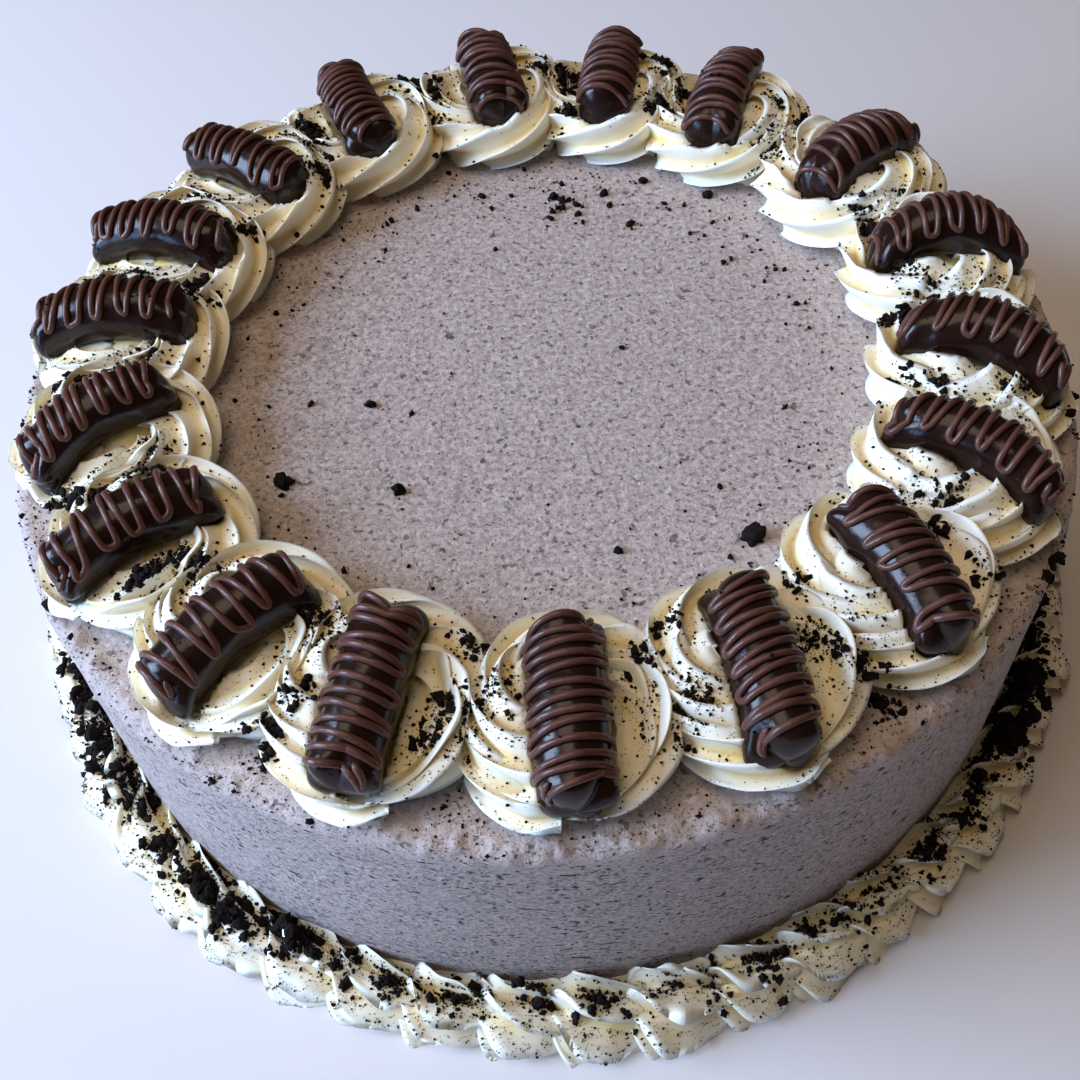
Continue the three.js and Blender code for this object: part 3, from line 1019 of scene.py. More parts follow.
@dataclass
class CakeDrum:
    """The frosted cake: a smooth drum with a soft, torn edge and a spatula's marks.

    Attributes:
        sizes: The cake's sizes.
        columns: How many points go round it.
        top_step: Millimetres from row to row in the middle of the top.
        fine_step: The same near the edge.
        fine_band: How wide that band is.
        fine_side: How far below the edge the rows stay close, and where the wider ones start.
        side_step: Millimetres from one of these to the next.
        edge_round: The upper edge's rounding.
        foot_round: The foot's bevel.
        waves: The frosting's waves: millimetres deep, and millimetres long.
        smears: What the spatula adds to the side, drawn out level.
        tears: How the edge is torn: shares of its depth, and millimetres.
        smear_squeeze: How much closer the smears are upright than level.
        rim_place: How far in and how far down from the upper corner the torn edge stands.
        rim_squash: The share of a height that counts in the distance from it.
        rim_width: How wide it is.
        rim_height: How high it stands.
        rim_tear: How much the tears add to that.
        rim_limits: The lowest and the highest that it can be.
        roughened: How far in from the side the top is rough with crumbs, and where it is so in full.
        roughness: How much of the tears' height it has there.
        foot_calm: The heights between which the relief starts, so that the foot stays flat.
        smear_start: Where the smeared side starts, in millimetres below the top.
        dust_and_shade: Shares of brown and the radii where they rise: painted warm shade near the rosettes,
            edge dust.
        dust_end: Where it fades out again, in millimetres below the top.
    """

    sizes: CakeSizes
    columns: int = 1080
    top_step: float = 3.0
    fine_step: float = 0.8
    fine_band: float = 12.0
    fine_side: tuple = (6, 6.5)
    side_step: float = 1.3
    edge_round: float = 3.6
    foot_round: float = 1.5
    waves: tuple = ((0.22, 31), (0.1, 9))
    smears: tuple = ((0.16, 11), (0.07, 3.6))
    tears: tuple = ((1.0, 7.0), (0.8, 2.6), (0.5, 1.3))
    smear_squeeze: float = 3.2
    rim_place: tuple = (2.4, 1.0)
    rim_squash: float = 0.6
    rim_width: float = 2.2
    rim_height: float = 0.3
    rim_tear: float = 0.95
    rim_limits: tuple = (-0.4, 1.7)
    roughened: tuple = (15, 6)
    roughness: float = 0.2
    foot_calm: tuple = (0.5, 6)
    smear_start: Ramp = Ramp(1.0, 1.5, 4.5)
    # Painted warm shade in a ring near the rosettes, and crumb dust at the edge
    dust_and_shade: tuple = (Ramp(0.4, 62, 86), Ramp(0.6, 120, 125))
    dust_end: Ramp = Ramp(1.0, 1.0, 9.0)

    def profile(self) -> np.ndarray:
        """The outline from the middle of the top, over the edge and down to the foot.

        Returns:
            Rows of radius, height, and the outward direction's radius and height.
        """
        radius, height = self.sizes.radius, self.sizes.height
        shoulder = radius - self.edge_round
        fine = shoulder - self.fine_band
        radii = np.concatenate([np.arange(2.0, fine, self.top_step),
                                np.arange(fine, shoulder, self.fine_step)])
        rows = [(r, height, 0.0, 1.0) for r in radii]
        for lift in np.linspace(0, math.pi / 2, 9):
            s, c = math.sin(lift), math.cos(lift)
            rows.append((shoulder + self.edge_round * s, height - self.edge_round * (1 - c), s, c))
        low = self.foot_round
        under = height - self.edge_round
        close, wide = self.fine_side
        heights = np.concatenate([np.arange(under - self.fine_step, under - close, -self.fine_step),
                                  np.arange(under - wide, low, -self.side_step)])
        rows += [(radius, h, 1.0, 0.0) for h in heights]
        rows.append((radius - 0.2, low, 1.0, 0.0))
        rows.append((radius - self.foot_round, 0.0, 0.7, -0.7))
        return np.array(rows)

    def mesh(self) -> tuple[np.ndarray, list[np.ndarray]]:
        """Builds the drum with its low relief.

        Returns:
            Points in the cake's frame, and faces.
        """
        profile = self.profile()
        radius, height, out, up = (np.repeat(column, self.columns) for column in profile.T)
        way = ring_way(np.tile(np.linspace(0, TURN, self.columns, endpoint=False), len(profile)))
        upward = np.array([0, 0, 1.0])
        flat = way * radius[:, None] + upward * height[:, None]
        away = way * out[:, None] + upward * up[:, None]
        inward, down = self.rim_place
        near = np.hypot(radius - self.sizes.radius + inward,
                        self.rim_squash * (height - self.sizes.height + down))
        rim = np.exp(-(near / self.rim_width) ** 2)
        side = out ** 2
        smeared = flat * np.array([1, 1, self.smear_squeeze])
        relief = self.layers(1, flat, self.waves) + side * self.layers(3, smeared, self.smears)
        torn = self.layers(5, flat, self.tears)
        relief += rim * np.clip(self.rim_height + self.rim_tear * torn, *self.rim_limits)
        first, full = self.roughened
        rough = smooth_step(radius, self.sizes.radius - first, self.sizes.radius - full)
        relief += rough * (1 - side) * self.roughness * torn
        points = flat + away * (relief * smooth_step(height, *self.foot_calm))[:, None]
        ends = np.array([[0, 0, self.sizes.height], [0, 0, 0]])
        return np.concatenate([points, ends]), tube_faces(len(profile), self.columns)

    @staticmethod
    def layers(seed: int, points: np.ndarray, waves: tuple) -> np.ndarray:
        """Sums grains of several depths and lengths, each with a seed of its own."""
        return sum(deep * Grain(seed + n).at(points, size) for n, (deep, size) in enumerate(waves))

    def mark_zones(self, piece: bpy.types.Object) -> None:
        """Marks where the finish is smeared, and where it is tinted brown: painted shade and crumb dust.

        Args:
            piece: The drum's mesh.
        """
        places = np.zeros(len(piece.data.vertices) * 3, np.float32)
        piece.data.vertices.foreach_get("co", places)
        x, y, z = places.reshape(-1, 3).T / MM
        ring = np.hypot(x, y)
        below = self.sizes.height - z
        mark(piece, "smear", self.smear_start.at(below))
        # The rim mark is painted warm shade near the rosettes, and crumb dust at the edge
        mark(piece, "rim", sum(zone.at(ring) for zone in self.dust_and_shade) * (1 - self.dust_end.at(below)))

    def build(self) -> bpy.types.Object:
        """Makes the drum.

        Returns:
            The object.
        """
        piece = make_mesh("frosted_cake", *self.mesh())
        self.mark_zones(piece)
        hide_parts("cake_body")
        return piece


@dataclass
class ShellBorder:
    """The border round the foot: short ropes piped head over tail, with thin curled fins.

    Attributes:
        sizes: The cake's sizes.
        rope: The nozzle's rope.
        count: How many shells go round.
        reach: The rope's size.
        length: How far a shell runs round the cake.
        start: Where its head starts, from the shell's even place.
        crowding: How much closer its sections are at the head.
        head: The share of its length in which the head swells.
        tip: The rope's size at its very start, as a share of its size.
        swell: What the head adds to that.
        narrowing: How much smaller the rope gets along the shell.
        out: How far its line lies outside the drum.
        head_out: How much farther the head lies out.
        tail_in: How much nearer the tail lies.
        height: How high its line lies.
        head_low: How much lower the head lies.
        drooping: How far the line sinks along the shell.
        flat: How high the rope is, as a share of its width.
        outward_dip: How much its outer side hangs down.
        turn: How far the fins are turned at the head, in radians.
        untwist: How far they turn back along the shell, in radians.
        lean: How far the crests hang over their valleys, in radians.
        head_lean: How much less they do at the head, and the share of the length where that ends.
        hook: How far the crests are drawn back at the head, and the share where that ends.
        sway: How far they lean to and fro, in radians.
        wave_sizes: Millimetres between the waves of the fins, of their crests and of that sway.
        fin_waves: How high the fins' waves are in the valleys, and what the crests add.
        crest_waves: How high the crests' own waves are.
        base_give: How far what hangs below the base goes into it.
        wall: How deep in the drum's side the shells end, and the share of the rest that goes on.
        varies: How much a shell's size, place along, place outward and turn differ from the next one's.
        crest_shade: The least share of painted warm shade, which even the crests get.
        steps: How many sections a shell has.
    """

    sizes: CakeSizes
    rope: StarRope = StarRope(depth=0.56, edge=0.78)
    count: int = BORDER_COUNT
    reach: float = 9.6
    length: float = 27.0
    start: float = -6.0
    crowding: float = 1.6
    head: float = 0.2
    tip: float = 0.12
    swell: float = 0.9
    narrowing: Ramp = Ramp(0.55, 0.3, 1.0)
    out: float = 6.6
    head_out: float = 0.9
    tail_in: float = 1.8
    height: float = 6.6
    head_low: float = 1.2
    drooping: Ramp = Ramp(2.0, 0.4, 1.0)
    flat: float = 0.96
    outward_dip: float = 0.4
    turn: float = math.radians(68)
    untwist: float = 0.9
    lean: float = 0.55
    head_lean: tuple = (0.8, 0.15)
    hook: tuple = (3.0, 0.3)
    sway: float = 0.28
    wave_sizes: tuple = (4.2, 1.8, 5.5)
    fin_waves: tuple = (0.03, 0.09)
    crest_waves: float = 0.02
    base_give: float = 0.02
    wall: tuple = (0.4, 0.1)
    varies: tuple = (0.1, 1.4, 0.8, 0.25)
    crest_shade: float = 0.38
    steps: int = 36

    def shell(self, index: int) -> tuple[np.ndarray, list[np.ndarray]]:
        """Builds one shell.

        Args:
            index: The shell's number round the cake.

        Returns:
            Points in the cake's frame, and faces.
        """
        rng = np.random.default_rng(2000 + index)
        size_more, along_more, out_more, turn_more = np.array(self.varies) * rng.uniform(-1, 1, 4)
        share = np.linspace(0, 1, self.steps) ** self.crowding
        along = self.start + self.length * share + along_more
        head = np.sqrt(1 - np.clip(1 - share / self.head, 0, 1) ** 2)
        reach = self.reach * (1 + size_more) * (self.tip + self.swell * head) * (1 - self.narrowing.at(share))
        out = self.out + self.head_out * head - self.tail_in * share + out_more
        angle = TURN * index / self.count + along / (self.sizes.radius + 8)
        outward = ring_way(angle)
        centre = outward * (self.sizes.radius + out)[:, None]
        centre[:, 2] = self.height - self.head_low * head - self.drooping.at(share)
        lift = np.array([0, 0, self.flat]) * np.ones((self.steps, 1))
        side = outward.copy()
        side[:, 2] = -self.outward_dip
        turn = self.turn - self.untwist * share + turn_more
        rough, sway, crest = self.waves(index, centre)
        less, lean_end = self.head_lean
        lean = (self.lean - less * np.exp(-(share / lean_end) ** 2))[:, None] + sway
        points, faces = self.rope.sweep(centre, side, lift, reach, turn, lean, rough)
        back, hook_end = self.hook
        hook = back * crest * np.exp(-(share / hook_end) ** 2)[:, None]
        ahead = ring_way(angle + math.pi / 2)
        points[:-2] -= (hook[..., None] * ahead[:, None, :]).reshape(-1, 3)
        return self.settled(points), faces

    def waves(self, index: int, centre: np.ndarray) -> tuple[np.ndarray, np.ndarray, np.ndarray]:
        """Draws how a shell's fins wander.

        Args:
            index: The shell's number, which picks the grain.
            centre: The points of its line.

        Returns:
            The roughness and the sway of each point of each section, and how near a crest it lies.
        """
        grain = Grain(300 + index % 7)
        spot = self.rope.spots(centre)
        shape = (len(centre), -1)
        crest = np.tile((1 - self.rope.valley()) ** self.rope.crest_power, (len(centre), 1))
        fin_size, crest_size, sway_size = self.wave_sizes
        low, more = self.fin_waves
        rough = (low + more * crest) * grain.at(spot, fin_size).reshape(shape)
        rough += self.crest_waves * crest * grain.at(spot, crest_size).reshape(shape)
        return rough, self.sway * grain.at(spot + 40, sway_size).reshape(shape), crest

    def settled(self, points: np.ndarray) -> np.ndarray:
        """Flattens a shell where it touches the base and the drum.

        Args:
            points: Rows in the cake's frame.

        Returns:
            The points, moved in place.
        """
        points[:, 2] = np.where(points[:, 2] < 0, self.base_give * np.tanh(points[:, 2]), points[:, 2])
        ring = np.hypot(points[:, 0], points[:, 1])
        sunk, share = self.wall
        wall = self.sizes.radius - sunk
        pushed = np.where(ring < wall, wall + share * (ring - wall), ring)
        points[:, :2] *= (pushed / ring)[:, None]
        return points

    def build(self) -> bpy.types.Object:
        """Makes the whole border as one piece.

        Returns:
            The object.
        """
        batch = Batch()
        for index in range(self.count):
            batch.add(*self.shell(index))
        piece = batch.make("piped_shell_border")
        # Painted shade: deep in the valleys, with some even on the crests
        fold_shades = np.concatenate([np.tile(self.rope.valley(), self.steps), [1, 1]])
        mark(piece, "fold_shade", self.crest_shade + (1 - self.crest_shade) * np.tile(fold_shades, self.count))
        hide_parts("shell_border")
        return piece


class CrumbKind(Enum):
    """Kinds of cookie crumb: each piece's name and its largest crumb in millimetres."""

    DUST = ("cookie_dust", 0.65)
    SPECK = ("cookie_specks", 1.3)
    GRAIN = ("cookie_grains", 2.4)
    CHUNK = ("cookie_chunks", 9.0)

    def __init__(self, piece: str, largest: float) -> None:
        """Names the two values."""
        self.piece = piece
        self.largest = largest

    @classmethod
    def of(cls, size: float) -> "CrumbKind":
        """The kind that a crumb of this size belongs to."""
        return next(kind for kind in cls if size < kind.largest)


@dataclass
class CrumbFall:
    """Cookie crumbs that were sprinkled from above, and lie where they first touched.

    Attributes:
        sizes: The cake's sizes.
        landing: What they fall on.
        rng: Where every draw comes from.
        cell: The width of a cell of the map of piles.
        widest: How far from the cake's middle the map goes.
        highest_pile: How high a pile can grow.
        pile_share: The share of a crumb's size by which it raises its pile.
        stand: How high a crumb's middle lies above what it fell on, as a share of its size.
        log_rise: How high above the cake's top the logs' backs start.
        log_share: The share of crumbs that stay on them.
        small_power: How many more small crumbs there are than large ones.
        drop_height: How high above the base they start to fall.
    """

    sizes: CakeSizes
    landing: BVHTree
    rng: np.random.Generator
    cell: float = 0.6
    widest: float = 160.0
    highest_pile: float = 3.0
    pile_share: float = 0.3
    stand: float = 0.22
    log_rise: float = 16.5
    log_share: float = 0.12
    small_power: float = 2.6
    drop_height: float = 160.0

    def __post_init__(self) -> None:
        """Prepares the pile heights and the crumbs' plain shapes."""
        self.half = int(self.widest / self.cell)
        self.pile = np.zeros((2 * self.half, 2 * self.half))
        self.shapes = {kind: self.plain_shape(kind) for kind in CrumbKind}
        self.batches = {kind: Batch() for kind in CrumbKind}

    @staticmethod
    def plain_shape(kind: CrumbKind) -> tuple[np.ndarray, np.ndarray]:
        """Makes the ball of triangles that crumbs are broken from, simpler for the smaller kinds.

        Args:
            kind: The kind of crumb.

        Returns:
            Points on a ball of radius 1, and triangles.
        """
        if kind is CrumbKind.DUST:
            points = np.array([[1, 1, 1], [1, -1, -1], [-1, 1, -1], [-1, -1, 1]], float) / math.sqrt(3)
            return points, np.array([[0, 1, 2], [0, 3, 1], [0, 2, 3], [1, 3, 2]])
        if kind is CrumbKind.SPECK:
            points = np.array([[1, 0, 0], [-1, 0, 0], [0, 1, 0], [0, -1, 0], [0, 0, 1], [0, 0, -1]], float)
            upper = [[4, 0, 2], [4, 2, 1], [4, 1, 3], [4, 3, 0]]
            lower = [[5, 2, 0], [5, 1, 2], [5, 3, 1], [5, 0, 3]]
            return points, np.array(upper + lower)
        ball = bmesh.new()
        bmesh.ops.create_icosphere(ball, subdivisions=1 if kind is CrumbKind.GRAIN else 3, radius=1)
        points = np.array([v.co for v in ball.verts], float)
        faces = np.array([[v.index for v in f.verts] for f in ball.faces])
        ball.free()
        return points, faces

    def crumb(self, kind: CrumbKind, size: float) -> tuple[np.ndarray, list[np.ndarray]]:
        """Makes one crumb, around the origin.

        Args:
            kind: Which ball it is broken from.
            size: Millimetres across it.

        Returns:
            Points, and faces.
        """
        points, faces = self.shapes[kind]
        jitter = 1 + 0.5 * self.rng.uniform(-1, 1, len(points))
        if kind is CrumbKind.CHUNK:
            seed = self.rng.uniform(-50, 50, 3)
            grain = Grain(77)
            jitter = 1 + 0.45 * grain.at(points + seed, 0.55) + 0.25 * grain.at(points + seed, 0.2)
        stretch = self.rng.uniform(0.6, 1.2, 3)
        turn = Matrix.Rotation(self.rng.uniform(0, TURN), 3, Vector(self.rng.uniform(-1, 1, 3)))
        return points * jitter[:, None] * stretch @ np.array(turn) * size / 2, [faces]

    def drop(self, x: float, y: float, size: float, piles: bool = False) -> None:
        """Drops a crumb at a place seen from above; it is lost where the surface is too steep.

        Args:
            x: Millimetres to the right of the cake's middle.
            y: Millimetres behind the cake's middle.
            size: How large the crumb is, in millimetres.
            piles: Whether it lies on the crumbs that fell there before.
        """
        above = Vector((x, y, self.drop_height))
        hit, normal, _, _ = self.landing.ray_cast(above * MM, Vector((0, 0, -1)))
        if hit is None or normal.z < (0.3 if size < 1 else 0.6):
            return
        on_log = hit.z > (self.sizes.height + self.log_rise) * MM
        if on_log and self.rng.uniform() > self.log_share:
            return
        i, j = int(x / self.cell) + self.half, int(y / self.cell) + self.half
        lift = min(float(self.pile[i, j]), self.highest_pile) if piles else 0.0
        kind = CrumbKind.of(size)
        points, faces = self.crumb(kind, size)
        place = np.array(hit) / MM + np.array(normal) * size * self.stand + np.array([0, 0, lift])
        self.batches[kind].add(points + place, faces)
        if piles:
            wide = max(1, int(size / self.cell / 2))
            self.pile[i - wide + 1:i + wide, j - wide + 1:j + wide] += self.pile_share * size

    def sizes_of(self, count: int, small: float, large: float) -> np.ndarray:
        """Draws crumb sizes between two limits, many small and few large."""
        return small * (large / small) ** (self.rng.uniform(0, 1, count) ** self.small_power)

    def band(self, count: int, inner: float, outer: float, small: float, large: float) -> None:
        """Sprinkles crumbs evenly over a ring of the cake.

        Args:
            count: How many crumbs fall.
            inner: The ring's inner radius in millimetres.
            outer: Its outer radius.
            small: The smallest crumb's size in millimetres.
            large: The largest one's.
        """
        radii = np.sqrt(self.rng.uniform(inner ** 2, outer ** 2, count))
        angles = self.rng.uniform(0, TURN, count)
        for r, a, size in zip(radii, angles, self.sizes_of(count, small, large)):
            self.drop(r * math.cos(a), r * math.sin(a), size)

    def clump(self, radius: float, angle: float, spread: float, count: int, small: float,
              large: float) -> None:
        """Drops a handful of crumbs round one place.

        Args:
            radius: How far the place lies from the cake's middle, in millimetres.
            angle: Its angle from +X, in radians.
            spread: How far the crumbs scatter, in millimetres.
            count: How many crumbs fall.
            small: The smallest crumb's size in millimetres.
            large: The largest one's.
        """
        places = self.rng.normal(0, spread, (count, 2))
        for (dx, dy), size in zip(places, self.sizes_of(count, small, large)):
            x = radius * math.cos(angle) + dx
            y = radius * math.sin(angle) + dy
            self.drop(x, y, size, piles=True)

    def build(self) -> list[bpy.types.Object]:
        """Makes the crumbs that have fallen so far.

        Returns:
            One piece for each kind of crumb.
        """
        pieces = []
        for kind, batch in self.batches.items():
            piece = batch.make(kind.piece)
            pieces.append(piece)
        return pieces


@dataclass(frozen=True)
class Finish:
    """A finish made of shader nodes; each kind says how its surface is painted."""

    name: str

    def material(self) -> bpy.types.Material:
        """Makes the material and lets the finish paint it.

        Returns:
            The material.
        """
        made = bpy.data.materials.new(self.name)
        made.use_nodes = True
        tree = made.node_tree
        tree.nodes.clear()
        shader = add_node(tree, "ShaderNodeBsdfPrincipled")
        add_node(tree, "ShaderNodeOutputMaterial", {"Surface": shader.outputs["BSDF"]})
        self.paint(tree, shader)
        return made

    def paint(self, tree: bpy.types.NodeTree, shader: bpy.types.Node) -> None:
        """Sets the shader's sockets and feeds them."""
        raise NotImplementedError

    def cover(self, *pieces: bpy.types.Object) -> None:
        """Gives the finish to some pieces.

        Args:
            *pieces: The pieces, whose only material it becomes.
        """
        made = self.material()
        for piece in pieces:
            piece.data.materials.clear()
            piece.data.materials.append(made)


@dataclass(frozen=True)
class Fleck:
    """One size of cookie fleck in the buttercream: torn spots where a noise runs high.

    Attributes:
        size: Millimetres across the noise's lumps.
        least: The noise's value at a fleck's faint edge.
        full: Its value where the fleck is fully dark.
        strength: How much of the fleck's own colour shows.
    """

    size: float
    least: float
    full: float
    strength: float


@dataclass(frozen=True)
class SpreadCookieButtercream(Finish):
    """Buttercream with crushed cookie, smoothed by a spatula: matt, mottled grey with torn dark flecks.

    Attributes:
        pale: The cream itself.
        shade: The cream where the finest crumbs colour it.
        fleck: Crushed cookie.
        rim: The brown of the crumb-dusted upper edge, also used as painted warm shade near the rosettes.
        chip: Bits of the cookies' white filling.
        flecks: The sizes of dark fleck.
        chips: The sizes of white bit.
        strokes: How much closer the pattern is along X, Y and Z, as the spatula drew it out level.
        noise_step: Metres along X and Y from one size's noise to the next one's.
        chips_away: Metres along X from the flecks' noise to the chips'.
        mottle: Millimetres across the mottling's lumps.
        mottle_range: The noise's values where the cream is all shade and all pale.
        crispness: The flecks' strength on the top and on the smeared side.
        relief: Millimetres that the crumbs under the surface raise it.
        relief_strength: The share of that on the smooth top, and on the side and the rim.
    """

    name: str = "spread_cookie_buttercream"
    pale: str = "#c8b7af"
    shade: str = "#938480"
    fleck: str = "#171213"
    rim: str = "#baa8a1"
    chip: str = "#d3ccd0"
    flecks: tuple = (Fleck(0.75, 0.58, 0.7, 0.5), Fleck(1.3, 0.63, 0.68, 0.85), Fleck(2.0, 0.655, 0.69, 1.0),
                     Fleck(2.9, 0.68, 0.7, 1.0))
    chips: tuple = (Fleck(1.0, 0.6, 0.72, 0.4), Fleck(1.7, 0.665, 0.7, 0.6))
    strokes: tuple = (0.95, 0.95, 1.9)
    noise_step: tuple = (0.31, 0.17)
    chips_away: float = 0.7
    mottle: float = 1.4
    mottle_range: tuple = (0.38, 0.62)
    crispness: tuple = (0.62, 1.25)
    relief: float = 0.7
    relief_strength: tuple = (0.5, 1.0)

    def masks(self, tree: bpy.types.NodeTree, place: bpy.types.NodeSocket, flecks: tuple,
              away: float) -> list[bpy.types.NodeSocket]:
        """Adds flecks.

        Args:
            tree: The node tree.
            place: The coordinates, in metres, drawn out along the spatula's strokes.
            flecks: The sizes of fleck to add.
            away: How far in metres the noise is moved, so that two sets don't coincide.

        Returns:
            For each size of fleck, a socket with the share of its colour that shows.
        """
        found = []
        right, back = self.noise_step
        for step, fleck in enumerate(flecks):
            shift = (right * step + away, back * step, 0.0)
            moved = add_node(tree, "ShaderNodeVectorMath", {0: place, 1: shift}, operation="ADD").outputs[0]
            noise = add_node(tree, "ShaderNodeTexNoise", {
                "Vector": moved, "Scale": 1 / (fleck.size * MM), "Detail": 1.3, "Roughness": 0.6})
            mask = add_node(tree, "ShaderNodeMapRange", {
                "Value": noise.outputs["Fac"], "From Min": fleck.least, "From Max": fleck.full,
                "To Min": 0.0, "To Max": fleck.strength})
            found.append(mask.outputs[0])
        return found

    def layers(self, tree: bpy.types.NodeTree, place: bpy.types.NodeSocket, smear: bpy.types.NodeSocket,
               rim: bpy.types.NodeSocket) -> list[tuple[bpy.types.NodeSocket, str]]:
        """Lists what lies over the mottled cream, from the lowest layer up.

        Args:
            tree: The node tree.
            place: The coordinates, in metres, drawn out along the spatula's strokes.
            smear: How smeared the surface is.
            rim: How much of the rim colour shows, as crumb dust at the edge and painted warm shade near the
                rosettes.

        Returns:
            For each layer, a socket with the share of it that shows, and its colour.
        """
        crisp = add_node(tree, "ShaderNodeMapRange", {
            "Value": smear, "To Min": self.crispness[0], "To Max": self.crispness[1]}).outputs[0]
        # The rim layer is crumb dust at the edge and painted warm shade near the rosettes
        found = [(rim, self.rim)]
        found += [(mask, self.chip) for mask in self.masks(tree, place, self.chips, self.chips_away)]
        for mask in self.masks(tree, place, self.flecks, 0.0):
            share = add_node(tree, "ShaderNodeMath", {0: mask, 1: crisp}, operation="MULTIPLY")
            found.append((share.outputs[0], self.fleck))
        return found

    def paint(self, tree: bpy.types.NodeTree, shader: bpy.types.Node) -> None:
        """Paints the mottled cream, its dusted rim and painted warm shade, its white bits and its dark
        flecks.

        Args:
            tree: The node tree.
            shader: The surface's shader.
        """
        whole = add_node(tree, "ShaderNodeTexCoord").outputs["Object"]
        place = add_node(tree, "ShaderNodeVectorMath", {0: whole, 1: self.strokes},
                         operation="MULTIPLY").outputs[0]
        smear = add_node(tree, "ShaderNodeAttribute", attribute_name="smear").outputs["Fac"]
        rim = add_node(tree, "ShaderNodeAttribute", attribute_name="rim").outputs["Fac"]
        mottle = add_node(tree, "ShaderNodeTexNoise", {
            "Vector": place, "Scale": 1 / (self.mottle * MM), "Detail": 4, "Roughness": 0.75}).outputs["Fac"]
        spread = add_node(tree, "ShaderNodeMapRange", {
            "Value": mottle, "From Min": self.mottle_range[0], "From Max": self.mottle_range[1]}).outputs[0]
        base = add_node(tree, "ShaderNodeMix", {
            "Factor": spread, 6: linear(self.shade), 7: linear(self.pale)}, data_type="RGBA").outputs[2]
        for share, colour in self.layers(tree, place, smear, rim):
            base = add_node(tree, "ShaderNodeMix", {"Factor": share, 6: base, 7: linear(colour)},
                            data_type="RGBA").outputs[2]
        tree.links.new(base, shader.inputs["Base Color"])
        rough = add_node(tree, "ShaderNodeMath", {0: smear, 1: rim}, operation="MAXIMUM").outputs[0]
        strength = add_node(tree, "ShaderNodeMapRange", {
            "Value": rough, "To Min": self.relief_strength[0], "To Max": self.relief_strength[1]}).outputs[0]
        bump = add_node(tree, "ShaderNodeBump", {
            "Height": mottle, "Strength": strength, "Distance": self.relief * MM})
        tree.links.new(bump.outputs[0], shader.inputs["Normal"])
        shader.inputs["Roughness"].default_value = 0.6
        shader.inputs["Subsurface Weight"].default_value = 0.06
        shader.inputs["Subsurface Radius"].default_value = (1.0, 0.75, 0.6)
        shader.inputs["Subsurface Scale"].default_value = 1.0 * MM


@dataclass(frozen=True)
class PipedFrosting(Finish):
    """Whipped butter frosting from a star nozzle: satin white crests, and painted warm shade in its folds.

    Attributes:
        cream: The frosting's crests.
        deep: The painted warm shade deep in the folds.
        shade_power: How fast the painted shade fades toward the crests.
        shade_share: How much of it shows.
        drift: Millimetres across the places with more or less of it.
        grain: Millimetres across the whipped grain's lumps.
        relief: How high they are, in millimetres.
    """

    name: str = "piped_butter_frosting"
    cream: str = "#fcf9ec"
    deep: str = "#e5c56f"
    shade_power: float = 1.7
    shade_share: float = 1.4
    drift: float = 9.0
    grain: float = 0.9
    relief: float = 0.2

    def paint(self, tree: bpy.types.NodeTree, shader: bpy.types.Node) -> None:
        """Paints the cream, with painted warm shade in its folds, and a fine whipped grain.

        Args:
            tree: The node tree.
            shader: The surface's shader.
        """
        place = add_node(tree, "ShaderNodeTexCoord").outputs["Object"]
        drift = add_node(tree, "ShaderNodeTexNoise", {
            "Vector": place, "Scale": 1 / (self.drift * MM), "Detail": 3}).outputs["Fac"]
        # This mark says how much painted warm shade each point gets
        fold_shade = add_node(tree, "ShaderNodeAttribute", attribute_name="fold_shade").outputs["Fac"]
        hollow = add_node(tree, "ShaderNodeMath", {0: fold_shade, 1: self.shade_power}, operation="POWER").outputs[0]
        depth = add_node(tree, "ShaderNodeMath", {0: hollow, 1: drift}, operation="MULTIPLY").outputs[0]
        share = add_node(tree, "ShaderNodeMath", {0: depth, 1: self.shade_share}, operation="MULTIPLY",
                         use_clamp=True).outputs[0]
        base = add_node(tree, "ShaderNodeMix", {
            "Factor": share, 6: linear(self.cream), 7: linear(self.deep)}, data_type="RGBA").outputs[2]
        tree.links.new(base, shader.inputs["Base Color"])
        grain = add_node(tree, "ShaderNodeTexNoise", {
            "Vector": place, "Scale": 1 / (self.grain * MM), "Detail": 3}).outputs["Fac"]
        bump = add_node(tree, "ShaderNodeBump", {
            "Height": grain, "Strength": 0.22, "Distance": self.relief * MM})
        tree.links.new(bump.outputs[0], shader.inputs["Normal"])
        shader.inputs["Roughness"].default_value = 0.42
        shader.inputs["Subsurface Weight"].default_value = 0.22
        shader.inputs["Subsurface Radius"].default_value = (1.0, 0.62, 0.25)
        shader.inputs["Subsurface Scale"].default_value = 1.6 * MM


